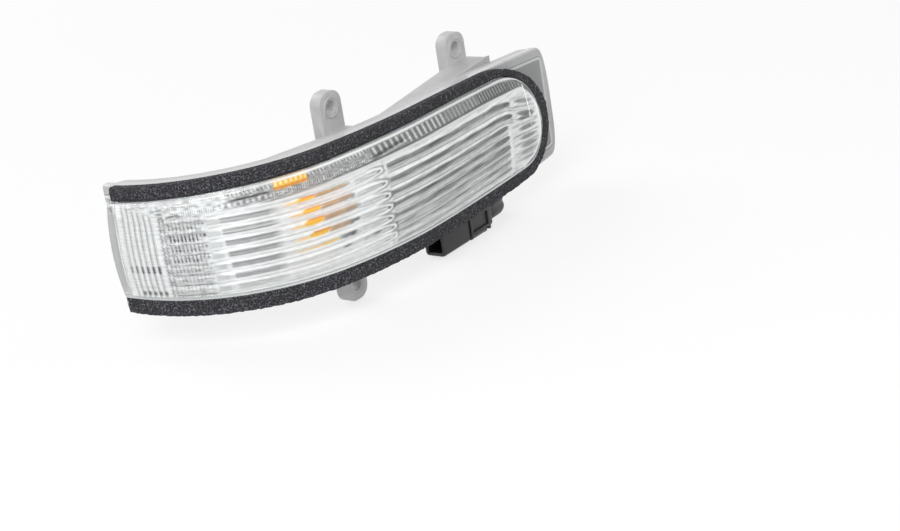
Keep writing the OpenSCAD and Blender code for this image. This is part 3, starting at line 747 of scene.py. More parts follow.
def relief(s, z, strip, sizes):
    """Height in mm of the relief that stands out of the lens's inner face; strip is 1 in its top strip."""
    pitch, depth = sizes.flute_pitch * 1000, sizes.flute_depth * 1000
    lines = np.abs(np.sin(np.pi * (z - 1.1) / pitch))
    lines_in = np.abs(np.sin(np.pi * (z + FAN_FALL * (s - FAN_S) + 0.35) / (1.06 * pitch)))
    upper = ramp(np.sin(2 * np.pi * (z - 1.1) / pitch), -0.2, 0.4)
    height = 0.16 * np.abs(np.sin(np.pi * s / 0.8)) * window(s, 5.8, 7.6, 0.3)
    height += 0.42 * np.abs(np.sin(np.pi * (s - 7.65) / (sizes.rib_pitch * 1000))) * window(s, 7.6, 19.6, 0.4)
    beads = np.abs(np.sin(np.pi * s / (sizes.bead_pitch * 1000)))
    height += (0.5 * depth * lines + 0.22 * beads * upper) * window(s, 19.8, 33.5, 0.6)
    height += depth * lines * ramp(s, 33.5, 37.5) * tapered(s, 82.5, 86.8)
    height += depth * lines_in * np.sqrt(ramp(s, 87.4, 90)) * tapered(s, 149, 152.5)
    height += 0.7 * depth * lines_in * np.sqrt(ramp(s, 153.5, 156)) * ramp(-s, -171, -167)
    ribs = 0.3 * np.abs(np.sin(np.pi * (s + 0.3 * (z - 13)) / (sizes.strip_pitch * 1000)))
    return np.where(strip > 0.5, ribs * ramp(s, 12, 40) * ramp(-s, -170, -166), height)


def tapered(s, a, b):
    """1 up to a, closing like a round tip at b."""
    return np.sqrt(np.maximum(0, 1 - ramp(s, a, b) ** 2))


# ---------------------------------------------------------------------------
# Light and shade in the lens, painted from the length s along it and the height z in mm
# ---------------------------------------------------------------------------
# One number for each flute from the lowest up: how dark its outboard band, its beads, the lit edge of its band, its
# inboard band and the pad at its inboard end are, and where along the lens its rounded tip ends
FLUTES = range(-5, 3)
BAND_DARK = (0.2, 0.4, 0.75, 0.9, 1.0, 1.0, 1.0, 0.85)
BEAD_DARK = (0.05, 0.1, 0.2, 0.3, 0.65, 0.6, 1.0, 0.45)
EDGE_LIT = (0, 0, 0, 0.3, 0.3, 0.3, 1.0, 0.4)
INBOARD_DARK = (0.35, 0.4, 0.5, 0.8, 0.95, 1.0, 1.0, 0.9)
PAD_DARK = (0.15, 0.25, 0.4, 0.46, 0.5, 0.5, 0.5, 0.42)
TIP_END = (89.0, 89.0, 88.7, 88.1, 88.4, 88.2, 87.8, 86.9)

# The bulb's light in a flute: how far over its middle, from where to where, where the flute's grey end stops, and
# half its thickness
BULB_LIGHT = {-2: (-0.2, 62.5, 68.1, 66, 0.45), -1: (0.0, 59.7, 65.6, 73, 0.8), 0: (0.4, 58.7, 64.4, 76.3, 0.85),
              1: (0.55, 58.7, 64.0, 75, 0.7), 2: (0.85, 57.8, 62.8, 74, 0.45)}
# Its colours, sRGB: the pale tail, the core, the deep edge, the brown end, and the light cells in the top strip
GLOW_TAIL, GLOW_CORE, GLOW_DEEP = (0.98, 0.80, 0.52), (1.0, 0.74, 0.16), (0.84, 0.50, 0.14)
GLOW_BROWN, GLOW_PALE = (0.72, 0.55, 0.38), (1.0, 0.95, 0.85)

# Upright ribs of the top strip, whose sides carry painted highlight and shade: from, to, pitch, and how much lighter
# and darker than the strip their sides are
STRIP_RIBS = ((40, 52.4, 1.15, 0.26, 0.12), (62.8, 68.5, 1.1, 0.28, 0.14), (68.5, 75, 1.3, 0.14, 0.1),
              (75, 84, 1.25, 0.26, 0.16), (84, 119, 2.4, 0.36, 0.18), (119, 138, 2.0, 0.12, 0.12),
              (138, 156, 1.6, 0.22, 0.36), (156, 170, 1.7, 0.14, 0.3))


def end_edge(z):
    """Where the dome's inboard end stands at height z."""
    high = np.where(z > DOME_TIP, 19.5, 14.5)
    return 150 + (DOME_END - 150) * round_off(np.abs(z - DOME_TIP), 0, high, DOME_POWER)


def end_rib_shade(s, z, mottle):
    """Painted shade of the upright end ribs with their dark painted lines, of the mottled corner over them and of the
    scallops.
    """
    crest = 13.4 - 0.33 * (s - 8.7)
    dark = 0.08 * window(s, 7.6, 19.4, 0.4) * hump(np.sin(np.pi * s / 0.58), 0.3, 0.5)
    for j in range(6):
        at = 9.4 + END_RIB_STEP * j
        dark += 0.25 * fine_line(s - at + 0.5 * ramp(z, crest - 3, crest + 1), 0.34) * hump(z - crest + 14, 13.6, 0.6)
        dark += (0.30 + 0.08 * j) * fine_line(s - at, 0.36) * hump(z + 6.1, 0.9, 0.4)
        dark += 0.5 * fine_line(s - 9.9 - 1.7 * j, 0.42) * hump(z + 13.7, 0.35, 0.5) * (j > 0)
    dark += 0.16 * ramp(mottle, -0.4, 0.8) * ramp(z - crest, -0.4, 0.6) * ramp(-s, -24, -20)
    scallop = 0.45 * np.abs(np.sin(np.pi * z / 1.25))
    dark += (0.24 * fine_line(s - 20.2 - scallop, 0.28) + 0.2 * fine_line(s - 21.4 - scallop, 0.3)) * ramp(-z, -10, -9)
    return dark + (0.08 + 0.12 * ramp(mottle, 0, 0.7)) * window(s, 19.6, 33, 1)


def outboard_shade(k, s, z, beaded, strong, lit):
    """Painted shade of flute k's beads, of the painted light pad after them and of its grey band, as far as the bulb.
    """
    high, bead = z - row_outboard(k), z + 0.3 - 3.2 * k - 0.25 * (k == 2)
    dots = hump(np.sin(np.pi * (s - 22) / 1.05), 0.5, 0.3)
    dark = beaded * 0.7 * dots * hump(bead, 0.4, 0.3) * window(s, 22.3, 30.8, 0.6)
    dark += beaded * 0.42 * dots * hump(bead - 1.1, 0.3, 0.25) * window(s, 22.0, 33, 0.6)
    dark += 0.26 * fine_line(bead - 1.75, 0.25) * window(s, 21.5, 34, 1)
    dark += 0.38 * beaded * hump(np.hypot((s - 32.6) / 1.3, high), 0.2, 0.4)
    dark += 0.13 * window(s, 33.2, 37.0, 0.4) * hump(high, 0.8, 0.25)
    band = 0.28 * hump(high, 0.7, 0.3) + 0.16 * fine_line(high - 0.68, 0.25)
    band += lit * (0.10 * fine_line(high + 0.72, 0.25) - 0.2 * fine_line(high + 0.1, 0.25))
    dark += band * strong * window(s, 37.0 + 0.3 * (1 - k), 53.4, 0.5) * ramp(-s, -53, -50)
    return dark + 0.2 * fine_line(high - 1.75, 0.22) * window(s, 33, 86, 1)


def bulb_light(k, s, high, spots):
    """The bulb's painted light in flute k as masks for its four colours, and the painted shade of the flute's grey
    end.
    """
    lift, first, last, far, thick = BULB_LIGHT[k]
    rise = high - lift
    taper = thick * (0.35 + 0.65 * hump(s - (first + last) / 2, 1.3, 2.6))
    tail = hump(rise + 0.4 * thick, 0.12 + 0.35 * thick * ramp(s, first - 5, first), 0.25)
    tail = 0.95 * tail * window(s, min(first - 4.4, 54.6), first + 2, 2)
    core = hump(rise, taper - 0.1, 0.3) * window(s, first, last + 0.4, 0.7) * (0.6 if k == -2 else 1)
    deep = 0.9 * hump(rise - thick + 0.1, 0.12, 0.25) * window(s, first + 0.8, last + 1, 1.0) * (k > -2)
    brown = (0.75 - 0.4 * ramp(s, last + 2, far) + 0.25 * spots) * hump(rise, 0.85 * thick, 0.3)
    brown = brown * window(s, last - 0.2, far, 1.0)
    dark = 0.34 * (1 - spots) * hump(rise, 0.8 * thick, 0.3) * window(s, last + 1, far + 1, 1.0)
    if k < 2:
        dark += (0.14 + 0.36 * spots) * hump(rise + 0.3, 0.4, 0.4) * window(s, 69.4 if k else 71, 76.4, 1.5)
    if k == -1:
        dark += 0.35 * window(s, 72.6, 76.6, 1.0) * hump(rise, 0.3, 0.3)
    return (tail, core, deep, brown), dark


def tip_shade(k, s, z, end, strong):
    """Painted shade of flute k's rounded tip, which a painted highlight goes round in a bright bow."""
    turn = ramp(s, 72, 88)
    tip = (1 - turn) * row_outboard(k) + turn * row_inboard(k, 88)
    across, along = (z - tip) / 1.2, (s - end + 7) / 7
    size = np.hypot(across, along)
    away = (size - 1) * size / np.maximum(np.hypot(across / 1.2, along / 7), 1e-3)
    ahead = ramp(s, end - 6.5, end - 1.5)
    dark = 0.16 * strong * hump(away + 1.2, 0.75, 0.3) * window(s, 76, end, 1.0)
    dark += 0.34 * strong * hump(np.hypot((s - end + 1.2) / 1.6, across), 0.25, 0.3)
    dark += (0.42 * fine_line(away - 0.55, 0.26) * strong - 0.5 * fine_line(away, 0.24)) * ahead
    return dark + 0.26 * fine_line(away + 0.55, 0.2) * ahead * (1 - 0.5 * ramp(s, end - 2, end))


def inboard_shade(k, s, z, dark_k, pad_k, mottle):
    """Painted shade of flute k's band from its tip to the inboard end, and of the pad that ends it."""
    reach = 151.8 if k < 1 else 155.5
    dz = z - row_inboard(k, s) + 0.13 * ramp(s, 145, 156) * np.maximum(s - 145, 0) * (k >= 1)
    full = tapered(s, reach - 4.5, reach)
    deep = 1 + 0.25 * fine_line(s - 111, 9) + 0.6 * ramp(s, 140, 147)
    band = deep * (0.44 * hump(dz, 0.7 * full, 0.35) * (0.85 + 0.35 * mottle) + 0.16 * hump(dz - 0.2, 0.3 * full, 0.3))
    band += 0.42 * fine_line(dz + 2.0, 0.22) + 0.26 * fine_line(dz + 1.3, 0.2)
    slope = dz + 0.3 + 0.1 * (s - 163.6)
    dark = band * dark_k * window(s, 88.6, reach, 0.9)
    dark += pad_k * hump(np.hypot((s - 163.4) / 6.2, slope / 0.9), 0.6, 0.45)
    dark += 0.24 * fine_line(slope + 1.75, 0.25) * window(s, 153, 171, 1.5)
    return dark + 0.16 * fine_line(slope - 1.2, 0.2) * window(s, 155, 171, 1.5)


def strip_grey(s, z, down, mottle):
    """Grey of the top strip's painted light and shade, down from its upper edge: upright ribs, a dotted row under them
    and a dark line.
    """
    base = 0.88 - 0.22 * ramp(s, 38, 44) - 0.12 * ramp(s, 84, 88) - 0.1 * ramp(s, 136, 142)
    look = base + (0.17 - 0.11 * ramp(s, 84, 88)) * mottle
    tick = np.zeros_like(s)
    for a, b, pitch, light, dark in STRIP_RIBS:
        wave = np.cos(2 * np.pi * (s + 0.35 * (z - 13)) / pitch)
        tick += window(s, a, b, 0.5) * (light * np.maximum(0, wave) ** 1.5 - dark * np.maximum(0, -wave))
    later = 0.4 * ramp(s, 99, 101)
    look += tick * np.where(s < 84, hump(down - 1.85, 0.6, 0.25), hump(down - 3.1 - later, 1.1 + later, 0.3))
    look -= 0.38 * window(s, 39.5, 52.2, 2) * hump(down - 3.5, 0.22, 0.25)
    dots = hump(np.sin(np.pi * s / 0.62), 0.5, 0.3)
    look += window(s, 24, 84, 2) * hump(down - 4.6, 0.45, 0.3) * (0.16 - 0.32 * dots)
    look -= 0.34 * window(s, 84, 99, 2) * hump(down - 4.7 + 0.09 * (s - 84), 0.35, 0.3)
    look += 0.26 * window(s, 86, 102, 3) * fine_line(down - 5.6 + 0.09 * (s - 84), 0.25)
    look -= 0.34 * window(s, 22.5, 28, 1.5) * hump(down - 5.3, 0.25, 0.3)
    return look - 0.22 * window(s, 19, 31, 1) * dots * hump(down - 2.9, 0.2, 0.3)


def towards(colour, tone, share):
    """The colour taken towards a tone by a share for each point."""
    return colour + (np.array(tone) - colour) * share[..., None]


def lens_look(s, z, strip):
    """sRGB colour of the light and shade painted on the lens's inner face, and the share of the bulb's painted glow
    from 0 to 1.
    """
    s, z, strip = np.broadcast_arrays(s, z, strip)
    down = top_edge(s) - top_w(s) - z
    long_noise, short_noise = streaks(s, z, 9.0, 0.45, 3.0), streaks(s, z, 2.0, 0.35, 8.0)
    spots = ramp(short_noise, -0.5, 0.5)
    dark = end_rib_shade(s, z, short_noise)
    glow = [np.zeros_like(s) for _ in range(4)]
    for k, strong, beaded, lit, inboard, pad, end in zip(FLUTES, BAND_DARK, BEAD_DARK, EDGE_LIT, INBOARD_DARK,
                                                         PAD_DARK, TIP_END):
        high = z - row_outboard(k)
        dark += outboard_shade(k, s, z, beaded, strong, lit) + inboard_shade(k, s, z, inboard, pad, long_noise)
        if k > -5:
            dark += tip_shade(k, s, z, end, strong)
        if k in BULB_LIGHT:
            masks, grey_end = bulb_light(k, s, high, spots)
            glow = [np.maximum(mask, more) for mask, more in zip(glow, masks)]
            dark += grey_end
        if k == -2:
            dark += 0.42 * window(s, 68.0, 74.6, 1.5) * hump(high + 0.1, 0.35, 0.4)
        if k == -3:
            dark += 0.36 * (window(s, 68.5, 72.5, 1.5) + window(s, 79.5, 83.5, 1.5)) * hump(high, 0.22, 0.3)
    dark += 0.10 * fine_line(z + 15.6, 0.2) + 0.12 * fine_line(z + 14.5, 0.18) * window(s, 36, 150, 4)
    dark += 0.06 * ramp(long_noise, 0, 1) + 0.07 * ramp(s, 88, 92) * ramp(long_noise, -0.2, 0.8) + 0.04 * short_noise
    grey = np.clip(0.955 + 0.035 * ramp(s, 55, 75) - dark, 0.2, 1.0)
    # painted highlight: a bright rim inside the inboard end
    rim = ramp(-np.minimum(z - dome_bottom(s), end_edge(z) - s), -3.0, -2.1) * ramp(s, 152, 166)
    grey = grey + (1.0 - grey) * rim
    grey = np.where((strip > 0.5) & (s > 22), np.clip(strip_grey(s, z, down, short_noise), 0.2, 1), grey)
    # painted shadow line under the strip, with a painted highlight line under it
    shade_line_depth = 6.25 - 0.5 * ramp(s, 52, 86) - 1.0 * ramp(s, 110, 155)
    grey = grey - 0.42 * window(s, 48, 158, 4) * fine_line(down - shade_line_depth, 0.28)
    grey = grey + (0.97 - grey) * 0.8 * window(s, 50, 150, 6) * fine_line(down - shade_line_depth - 0.7, 0.3)
    colour = np.stack([np.clip(grey, 0.2, 1)] * 3, axis=-1)
    # share of the bulb's painted glow, which also thickens the veil
    painted_glow = np.zeros_like(s)
    for mask, tone in zip(glow, (GLOW_TAIL, GLOW_CORE, GLOW_DEEP, GLOW_BROWN)):
        mask = np.where(down < 5.6, 0, np.clip(mask, 0, 1))
        painted_glow = np.maximum(painted_glow, mask)
        colour = towards(colour, tone, mask)
    # painted light of the bulb: amber cells in the strip over it, with pale painted light between them
    patch = window(s, 52.4, 62.4, 0.35) * hump(down - 2.25, 1.25, 0.25)
    gaps = 1 - hump(np.sin(np.pi * (s - 52.6) / 1.45), 0.55, 0.35)
    level = 0.93 - 0.16 * hump(down - 3.2, 0.3, 0.25) - 0.26 * fine_line(down - 1.2, 0.25)
    colour = towards(colour, np.array(GLOW_CORE) * level[..., None], 0.95 * patch)
    colour = towards(colour, GLOW_PALE, 0.75 * patch * gaps * hump(down - 2.0, 0.3, 0.25))
    colour = towards(colour, GLOW_DEEP, 0.8 * patch * hump(down - 3.2, 0.2, 0.25))
    return np.clip(colour, 0, 1), np.maximum(painted_glow, patch)


# Kinds of points on the lens: the strip and the rest of its inner face, what has light and shade painted outside, and
# plain
STRIP, FLUTED, PLAIN, DOME_EDGE, FLANGE_FACE, FLANGE_RIM, DOME_FACE = 2, 1, 0, -1, -2, -3, -4


class LAMP_OT_lens(bpy.types.Operator):
    """Makes the clear lens: flange, crowned dome, and its hollow with flutes, ribs, beads and the top strip"""
    bl_idname = "lamp.lens"
    bl_label = "Lens"

    def execute(self, context):
        sizes = context.scene.lamp_sizes
        s = np.concatenate([[0, 0.5], np.arange(1, 5.6, 0.5), np.arange(5.7, 36, 0.23), np.arange(36, 52, 0.45),
                            np.arange(52, 64, 0.25), np.arange(64, 84, 0.35), np.arange(84, 165, 0.36),
                            164 + 9.5 * np.sin(np.linspace(0, np.pi / 2, 36)), [173.7, 173.78, 173.82],
                            np.arange(174.6, 184.6, 0.8), 184.5 + 5.95 * np.sin(np.linspace(0.1, np.pi / 2, 10))])
        off, z, kind = self.section(s, sizes)
        grid = place(s[:, None], off, z)
        piece = shells("lens_moulding", [(grid, "cap")], 32)
        along = np.broadcast_to(s[:, None], z.shape)
        # painted light and shade: the flutes' bands, highlights and shadow lines and the bulb's glow are painted into
        # the inner face's colour
        colour, painted_glow = lens_look(along, z, (kind == STRIP).astype(float))
        inside = np.broadcast_to(kind > 0, z.shape) & (along > 3) & (along < 173)
        corner = ramp(-along, -10, -8) * ramp(z, 9, 10.5)
        veil = np.where(inside, 0.74 + 0.12 * ramp(along, 86, 92) + 0.2 * np.maximum(painted_glow, corner), 0.0)
        # painted light and shade outside: a painted highlight on the dome's front edges, painted shade on its thick
        # outboard wall, and the weld rim and frame painted in greys as seen through the flange
        spots = {k: np.broadcast_to(kind == k, z.shape) for k in (DOME_EDGE, FLANGE_FACE, FLANGE_RIM, DOME_FACE)}
        spots[FLANGE_FACE] = spots[FLANGE_FACE] | ((along > DOME_END) & ~spots[FLANGE_RIM])
        edge = np.minimum(np.minimum(flange_top(along) - z, z - flange_bottom(along)), FLANGE_END - along)
        frame_grey = np.where(edge < 3.0, 0.76, np.where(edge < 3.5, 0.45, np.where(edge < 4.2, 0.92, 0.58)))
        wall = window(along, 2.7, 7.5, 0.4)
        wall_grey = 1.0 - 0.26 * wall - 0.3 * fine_line(along - 7.5, 0.25)
        wall_veil = (0.55 + 0.3 * ramp(-along, -2.7, -2.2)) * ramp(-along, -7.9, -7.4)
        for k, tone, share in ((DOME_EDGE, 0.98, 0.25 + 0.4 * ramp(along, 40, 60)), (DOME_FACE, wall_grey, wall_veil),
                               (FLANGE_FACE, frame_grey, 0.6), (FLANGE_RIM, 0.77, 0.98)):
            colour = np.where(spots[k][..., None], (tone + 0 * z)[..., None], colour)
            veil = np.where(spots[k], share, veil)
        linear = np.where(colour <= 0.04045, colour / 12.92, ((colour + 0.055) / 1.055) ** 2.4)
        linear[veil <= 0] = 1.0
        layer = piece.data.attributes.new("painted_light_shade", "FLOAT_COLOR", "POINT")
        layer.data.foreach_set("color", np.concatenate([linear, np.ones(z.shape + (1,))], axis=-1).ravel())
        layer = piece.data.attributes.new("veil", "FLOAT", "POINT")
        layer.data.foreach_set("value", veil.ravel())
        dress(piece, clear_acrylic(tuple(context.scene.lamp_colours.lens)), "lens_clear", "lens")
        return {"FINISHED"}

    def section(self, s, sizes):
        """Levels and heights of the closed ring round the lens at each station, and the kind of each of its points."""
        ft, fb, t, b = flange_top(s), flange_bottom(s), dome_top(s), dome_bottom(s)
        f = FLANGE_FRONT + (DOME_FRONT - FLANGE_FRONT) * ramp(s, 1, 5) * (s < DOME_END)
        # the dome's end is rounded, and its crown runs out with its height
        bend = np.clip((s - DOME_END + 1.6) / 1.6, 0, 1)
        f = f - 1.6 * (1 - np.sqrt(1 - bend ** 2)) * (s < DOME_END)
        crown = 1.5 * (1 - np.exp(-((t - b) / 14) ** 2))
        e = np.minimum(1.4, (t - b) / 4) * ramp(s, 1, 5)
        lift = np.maximum(f, 0) / DOME_FRONT

        def outer(rim, dome, sign, lit):
            """Points of one outer side, from the flange's back to the dome's front. sign is 1 below and -1 above."""
            clamp = np.minimum if sign > 0 else np.maximum
            side = [(FLANGE_BACK, rim + 0.25 * sign, FLANGE_RIM), (FLANGE_BACK + 0.25, rim, FLANGE_RIM),
                    (FLANGE_FRONT - 0.3, rim, FLANGE_RIM), (FLANGE_FRONT, rim + 0.3 * sign, FLANGE_RIM)]
            side += [(FLANGE_FRONT, clamp(rim + d * sign, dome - (0.5 - 0.01 * k) * sign), FLANGE_FACE)
                     for k, d in enumerate((0.9, 2.9, 3.1, 3.5, 3.9, 4.3, 8.0))]
            side += [(FLANGE_FRONT, dome - 0.4 * sign, PLAIN)]
            side += [(np.minimum(f, FLANGE_FRONT + out), dome - gap * sign, PLAIN)
                     for out, gap in ((0.12, 0.12), (0.4, 0), (1.5, 0))]
            for k in range(6):
                a = math.radians(18 * k)
                side.append((f - e + e * math.sin(a), dome + (e - e * math.cos(a)) * sign,
                             DOME_EDGE if k in lit else PLAIN))
            return side

        points = outer(fb, b, 1, (3, 4))
        half = (t - b) / 2 - e
        points += [(f + crown * (1 - u * u) * lift, (t + b) / 2 + u * half, DOME_FACE)
                   for u in np.linspace(-1, 1, 15)[1:-1]]
        points += outer(ft, t, -1, (2, 3))[::-1]
        # the hollow
        ti, bi = dome_top(s, 1.0), dome_bottom(s, 1.0)
        fi = FLANGE_BACK + (DOME_FRONT - 2 - FLANGE_BACK) * ramp(s, 3.4, 7.2) * (s < HOLLOW_END)
        ei = np.minimum(0.8, (ti - bi) / 6)
        inside = ramp(s, 5, 8) * (s < HOLLOW_END)
        back_edge = fi - 0.6 * inside * ei - 0.4 * ei * (fi > FLANGE_BACK)
        points += [(FLANGE_BACK, ti, PLAIN), (back_edge, ti, PLAIN)]

        def inner(height, kind):
            """A point of the hollow's fluted face."""
            u = (2 * height - ti - bi) / np.maximum(ti - bi, 1e-6)
            level = fi + crown * (1 - np.minimum(u * u, 1)) * np.maximum(fi, 0) / DOME_FRONT
            shape = relief(s, height, kind - FLUTED, sizes) * inside * ramp(-s, -172.2, -169.5)
            points.append((level - shape, height, kind))

        foot = np.minimum(top_edge(s) - top_w(s) - 5.9 + 0.3 * ramp(s, 120, 150), ti - 0.05 * (ti - bi))
        top = ti - 0.02 * (ti - bi)
        for k in range(13):
            inner(top + (foot - top) * k / 12.5, STRIP)
        inner(foot + 0.01, FLUTED)
        count = 98
        for k in range(count + 1):
            low, high = bi + 0.15 + 0.008 * (count - k), foot - 0.008 * k
            inner(np.clip(12.3 - 0.3 * k, np.minimum(low, high), high), FLUTED)
        points += [(back_edge, bi, PLAIN), (FLANGE_BACK, bi, PLAIN)]
        level, height = columns([(level + 0 * s, height + 0 * s) for level, height, _ in points])
        return level, height, np.array([kind for _, _, kind in points])


class LAMP_OT_tray(bpy.types.Operator):
    """Makes the bright tray behind the lens, stepped along its floor, with a window for the bulb holder"""
    bl_idname = "lamp.tray"
    bl_label = "Bright tray"

    def execute(self, context):
        sizes = context.scene.lamp_sizes
        s = np.concatenate([np.arange(8, 164, 1.0), np.linspace(164, 170, 7)])
        t, b = dome_top(s) - 2.3, dome_bottom(s) + 2.3
        floor, rings, count = INNER_LEVEL + 0.9, [], 96
        one = np.ones_like(s)
        rings += [(one * INNER_LEVEL, b + 2.2), (one * 0.5, b), (one * 0.5, b + 0.9), (one * floor, b + 3.1)]
        steps = sizes.step_height * 1000 * (1 - 0.85 * window(s, 48, 90, 6))
        for k in range(1, count):
            z = b + 3.1 + (t - b - 6.2) * k / count
            saw = ((z - 1.1) / FLUTE_STEP) % 1.0
            tooth = np.where(saw < 0.75, saw / 0.75, (1 - saw) / 0.25)
            rings.append((floor + steps * tooth * ramp(k, 0, 4) * ramp(count - k, 0, 4), z))
        rings += [(one * floor, t - 3.1), (one * 0.5, t - 0.9), (one * 0.5, t), (one * INNER_LEVEL, t - 2.2)]
        grid = place(s[:, None], *columns(rings))
        piece = shells("bright_tray", [(grid, "cap")], 25)
        corners = [by_bulb(x, y, z) for x in (8.6, 22.6) for y in (-1.5, 9) for z in (-7, 7)]
        cutter = bpy.data.meshes.new("window")
        cutter.from_pydata([tuple(metres(c)) for c in corners], [],
                           [(0, 1, 3, 2), (4, 6, 7, 5), (0, 4, 5, 1), (2, 3, 7, 6), (0, 2, 6, 4), (1, 5, 7, 3)])
        block = link("window", cutter)
        edit(cutter, lambda bm: bmesh.ops.recalc_face_normals(bm, faces=bm.faces))
        cut = piece.modifiers.new("Window", "BOOLEAN")
        cut.object, cut.solver = block, "EXACT"
        applied(piece)
        bpy.data.objects.remove(block)
        hood = [(4.0, -6.9), (-1.85, -6.9), (-1.85, 6.9), (4.0, 6.9),
                (4.0, 6.5), (-1.5, 6.5), (-1.5, -6.5), (4.0, -6.5)]
        cover = [[metres(by_bulb(x, y, z)) for y, z in hood] for x in (9.6, 15.0, 20.9)]
        wall = [[metres(by_bulb(x, y, z)) for y, z in ((3.6, -6.7), (-1.7, -6.7), (-1.7, 6.7), (3.6, 6.7))]
                for x in (20.7, 21.1)]
        hood = shells("hood", [(np.array(cover), "cap"), (np.array(wall), "cap")], 25)
        piece = joined("bright_tray_and_hood", [piece, hood])
        dress(piece, bright_tray(tuple(context.scene.lamp_colours.tray)), "tray_bright", "reflector")
        return {"FINISHED"}


class LAMP_OT_foam(bpy.types.Operator):
    """Makes the foam gasket, one strip round the dome with torn, open-cell faces"""
    bl_idname = "lamp.foam"
    bl_label = "Foam gasket"

    def execute(self, context):
        tear = context.scene.lamp_sizes.foam_tear
        noise.seed_set(TEAR_SEED)
        # stations round the dome: place along the curve and height of the outer edge, then of the inner edge
        stops = [(s, top_edge(s), s, top_edge(s) - top_w(s) + 0.2) for s in np.arange(5.2, 146, 0.7)]
        turn = [(math.sin(a), abs(math.cos(a))) for a in np.radians(np.linspace(0, 90, 60))]
        for sin, cos in turn:
            so, si = 146 + 36.8 * sin, 150 + (DOME_END - 149.8) * sin ** FOAM_POWER
            stops.append((so, TIP_Z + (top_edge(so) - TIP_Z) * cos,
                          si, DOME_TIP + (top_edge(si) - top_w(si) + 0.2 - DOME_TIP) * cos ** FOAM_POWER))
        for sin, cos in turn[1:]:
            so, si = 163 + 19.8 * cos, 160 + (DOME_END - 159.8) * cos ** FOAM_POWER
            stops.append((so, TIP_Z + (bottom_edge(so) - TIP_Z) * sin,
                          si, DOME_TIP + (bottom_edge(si) + low_w(si) - 0.2 - DOME_TIP) * sin ** FOAM_POWER))
        stops += [(s, bottom_edge(s), s, bottom_edge(s) + low_w(s) - 0.2) for s in np.arange(159.5, 2.9, -0.7)]
        so, zo, si, zi = (np.array([stop[k] for stop in stops], float) for k in range(4))
        # the strip's section: share of the way from its inner to its outer edge, and level
        r = 0.35
        side = np.linspace(FLANGE_FRONT + 0.5, FOAM_FRONT - r, 4)
        ring = [(0, FLANGE_FRONT)] + [(0, v) for v in side] + [(0.3 * r, FOAM_FRONT - 0.3 * r)]
        ring += [(v, FOAM_FRONT) for v in np.linspace(0.09, 0.91, 10)] + [(0.98, FOAM_FRONT - 0.3 * r)]
        ring += [(1, v) for v in side[::-1]] + [(1, FLANGE_FRONT)]
        grid = np.stack([place(si + (so - si) * w, level, zi + (zo - zi) * w) for w, level in ring], 1)
        for row in grid:
            for j, (w, level) in enumerate(ring):
                v = noise.noise_vector(Vector(row[j]) * 900) + 0.6 * noise.noise_vector(Vector(row[j]) * 2600)
                row[j] += np.array(v) * tear * (0.15 if level <= FLANGE_FRONT else 1.0) * (1.5 if w > 0.9 else 1.0)
        piece = shells("foam_strip", [(grid, "cap")], 60)
        dress(piece, foam_rubber(tuple(context.scene.lamp_colours.foam)), "foam_dark", "foam_gasket")
        return {"FINISHED"}


class LAMP_OT_bulb(bpy.types.Operator):
    """Finishes the amber bulb, its filament, holder and contacts"""
    bl_idname = "lamp.bulb"
    bl_label = "Bulb and holder"

    def execute(self, context):
        colours = context.scene.lamp_colours
        # profile of the glass, outside and then inside: (place along the bulb to its holder, radius) in mm
        outer = [(9.5, 3.2), (9.2, 3.8), (8.4, 4.0)] + [(v, 4.0) for v in np.linspace(6, -5.5, 6)]
        outer += [(-5.5 - 4.0 * math.sin(a), 4.0 * math.cos(a)) for a in np.linspace(0.2, 1.5, 9)]
        inner = [(-5.5 - 3.4 * math.sin(a), 3.4 * math.cos(a)) for a in np.linspace(1.5, 0.2, 9)]
        inner += [(v, 3.4) for v in np.linspace(-5.5, 8, 6)] + [(8.9, 2.9)]
        turn = np.linspace(0, 2 * math.pi, 49)[:-1]
        grid = [[metres(by_bulb(x, r * math.cos(a) * (1 - 0.35 * ramp(x, 4, 9)), r * math.sin(a))) for a in turn]
                for x, r in outer + inner]
        glass = shells("bulb_envelope", [(np.array(grid), "join")], 50)
        dress(glass, amber_glass(tuple(colours.amber)), "amber_glass", "bulb_glass")
        # tungsten and nickel wire, drawn: bright grey with lengthwise lines
        dress_node("bulb_filament", drawn_metal("Drawn nickel wire", tuple(colours.steel), 0.3))
        # black PBT, glass filled: matt with a fine grain
        dress_node("bulb_socket", moulded_plastic("Black PBT", tuple(colours.holder), 0.5, 0.3, 0.015))
        brass = drawn_metal("Stamped brass", tuple(colours.brass), 0.28)
        for node in ("socket_contact_a", "socket_contact_b", "connector_pin_a", "connector_pin_b"):
            dress_node(node, brass)
        return {"FINISHED"}


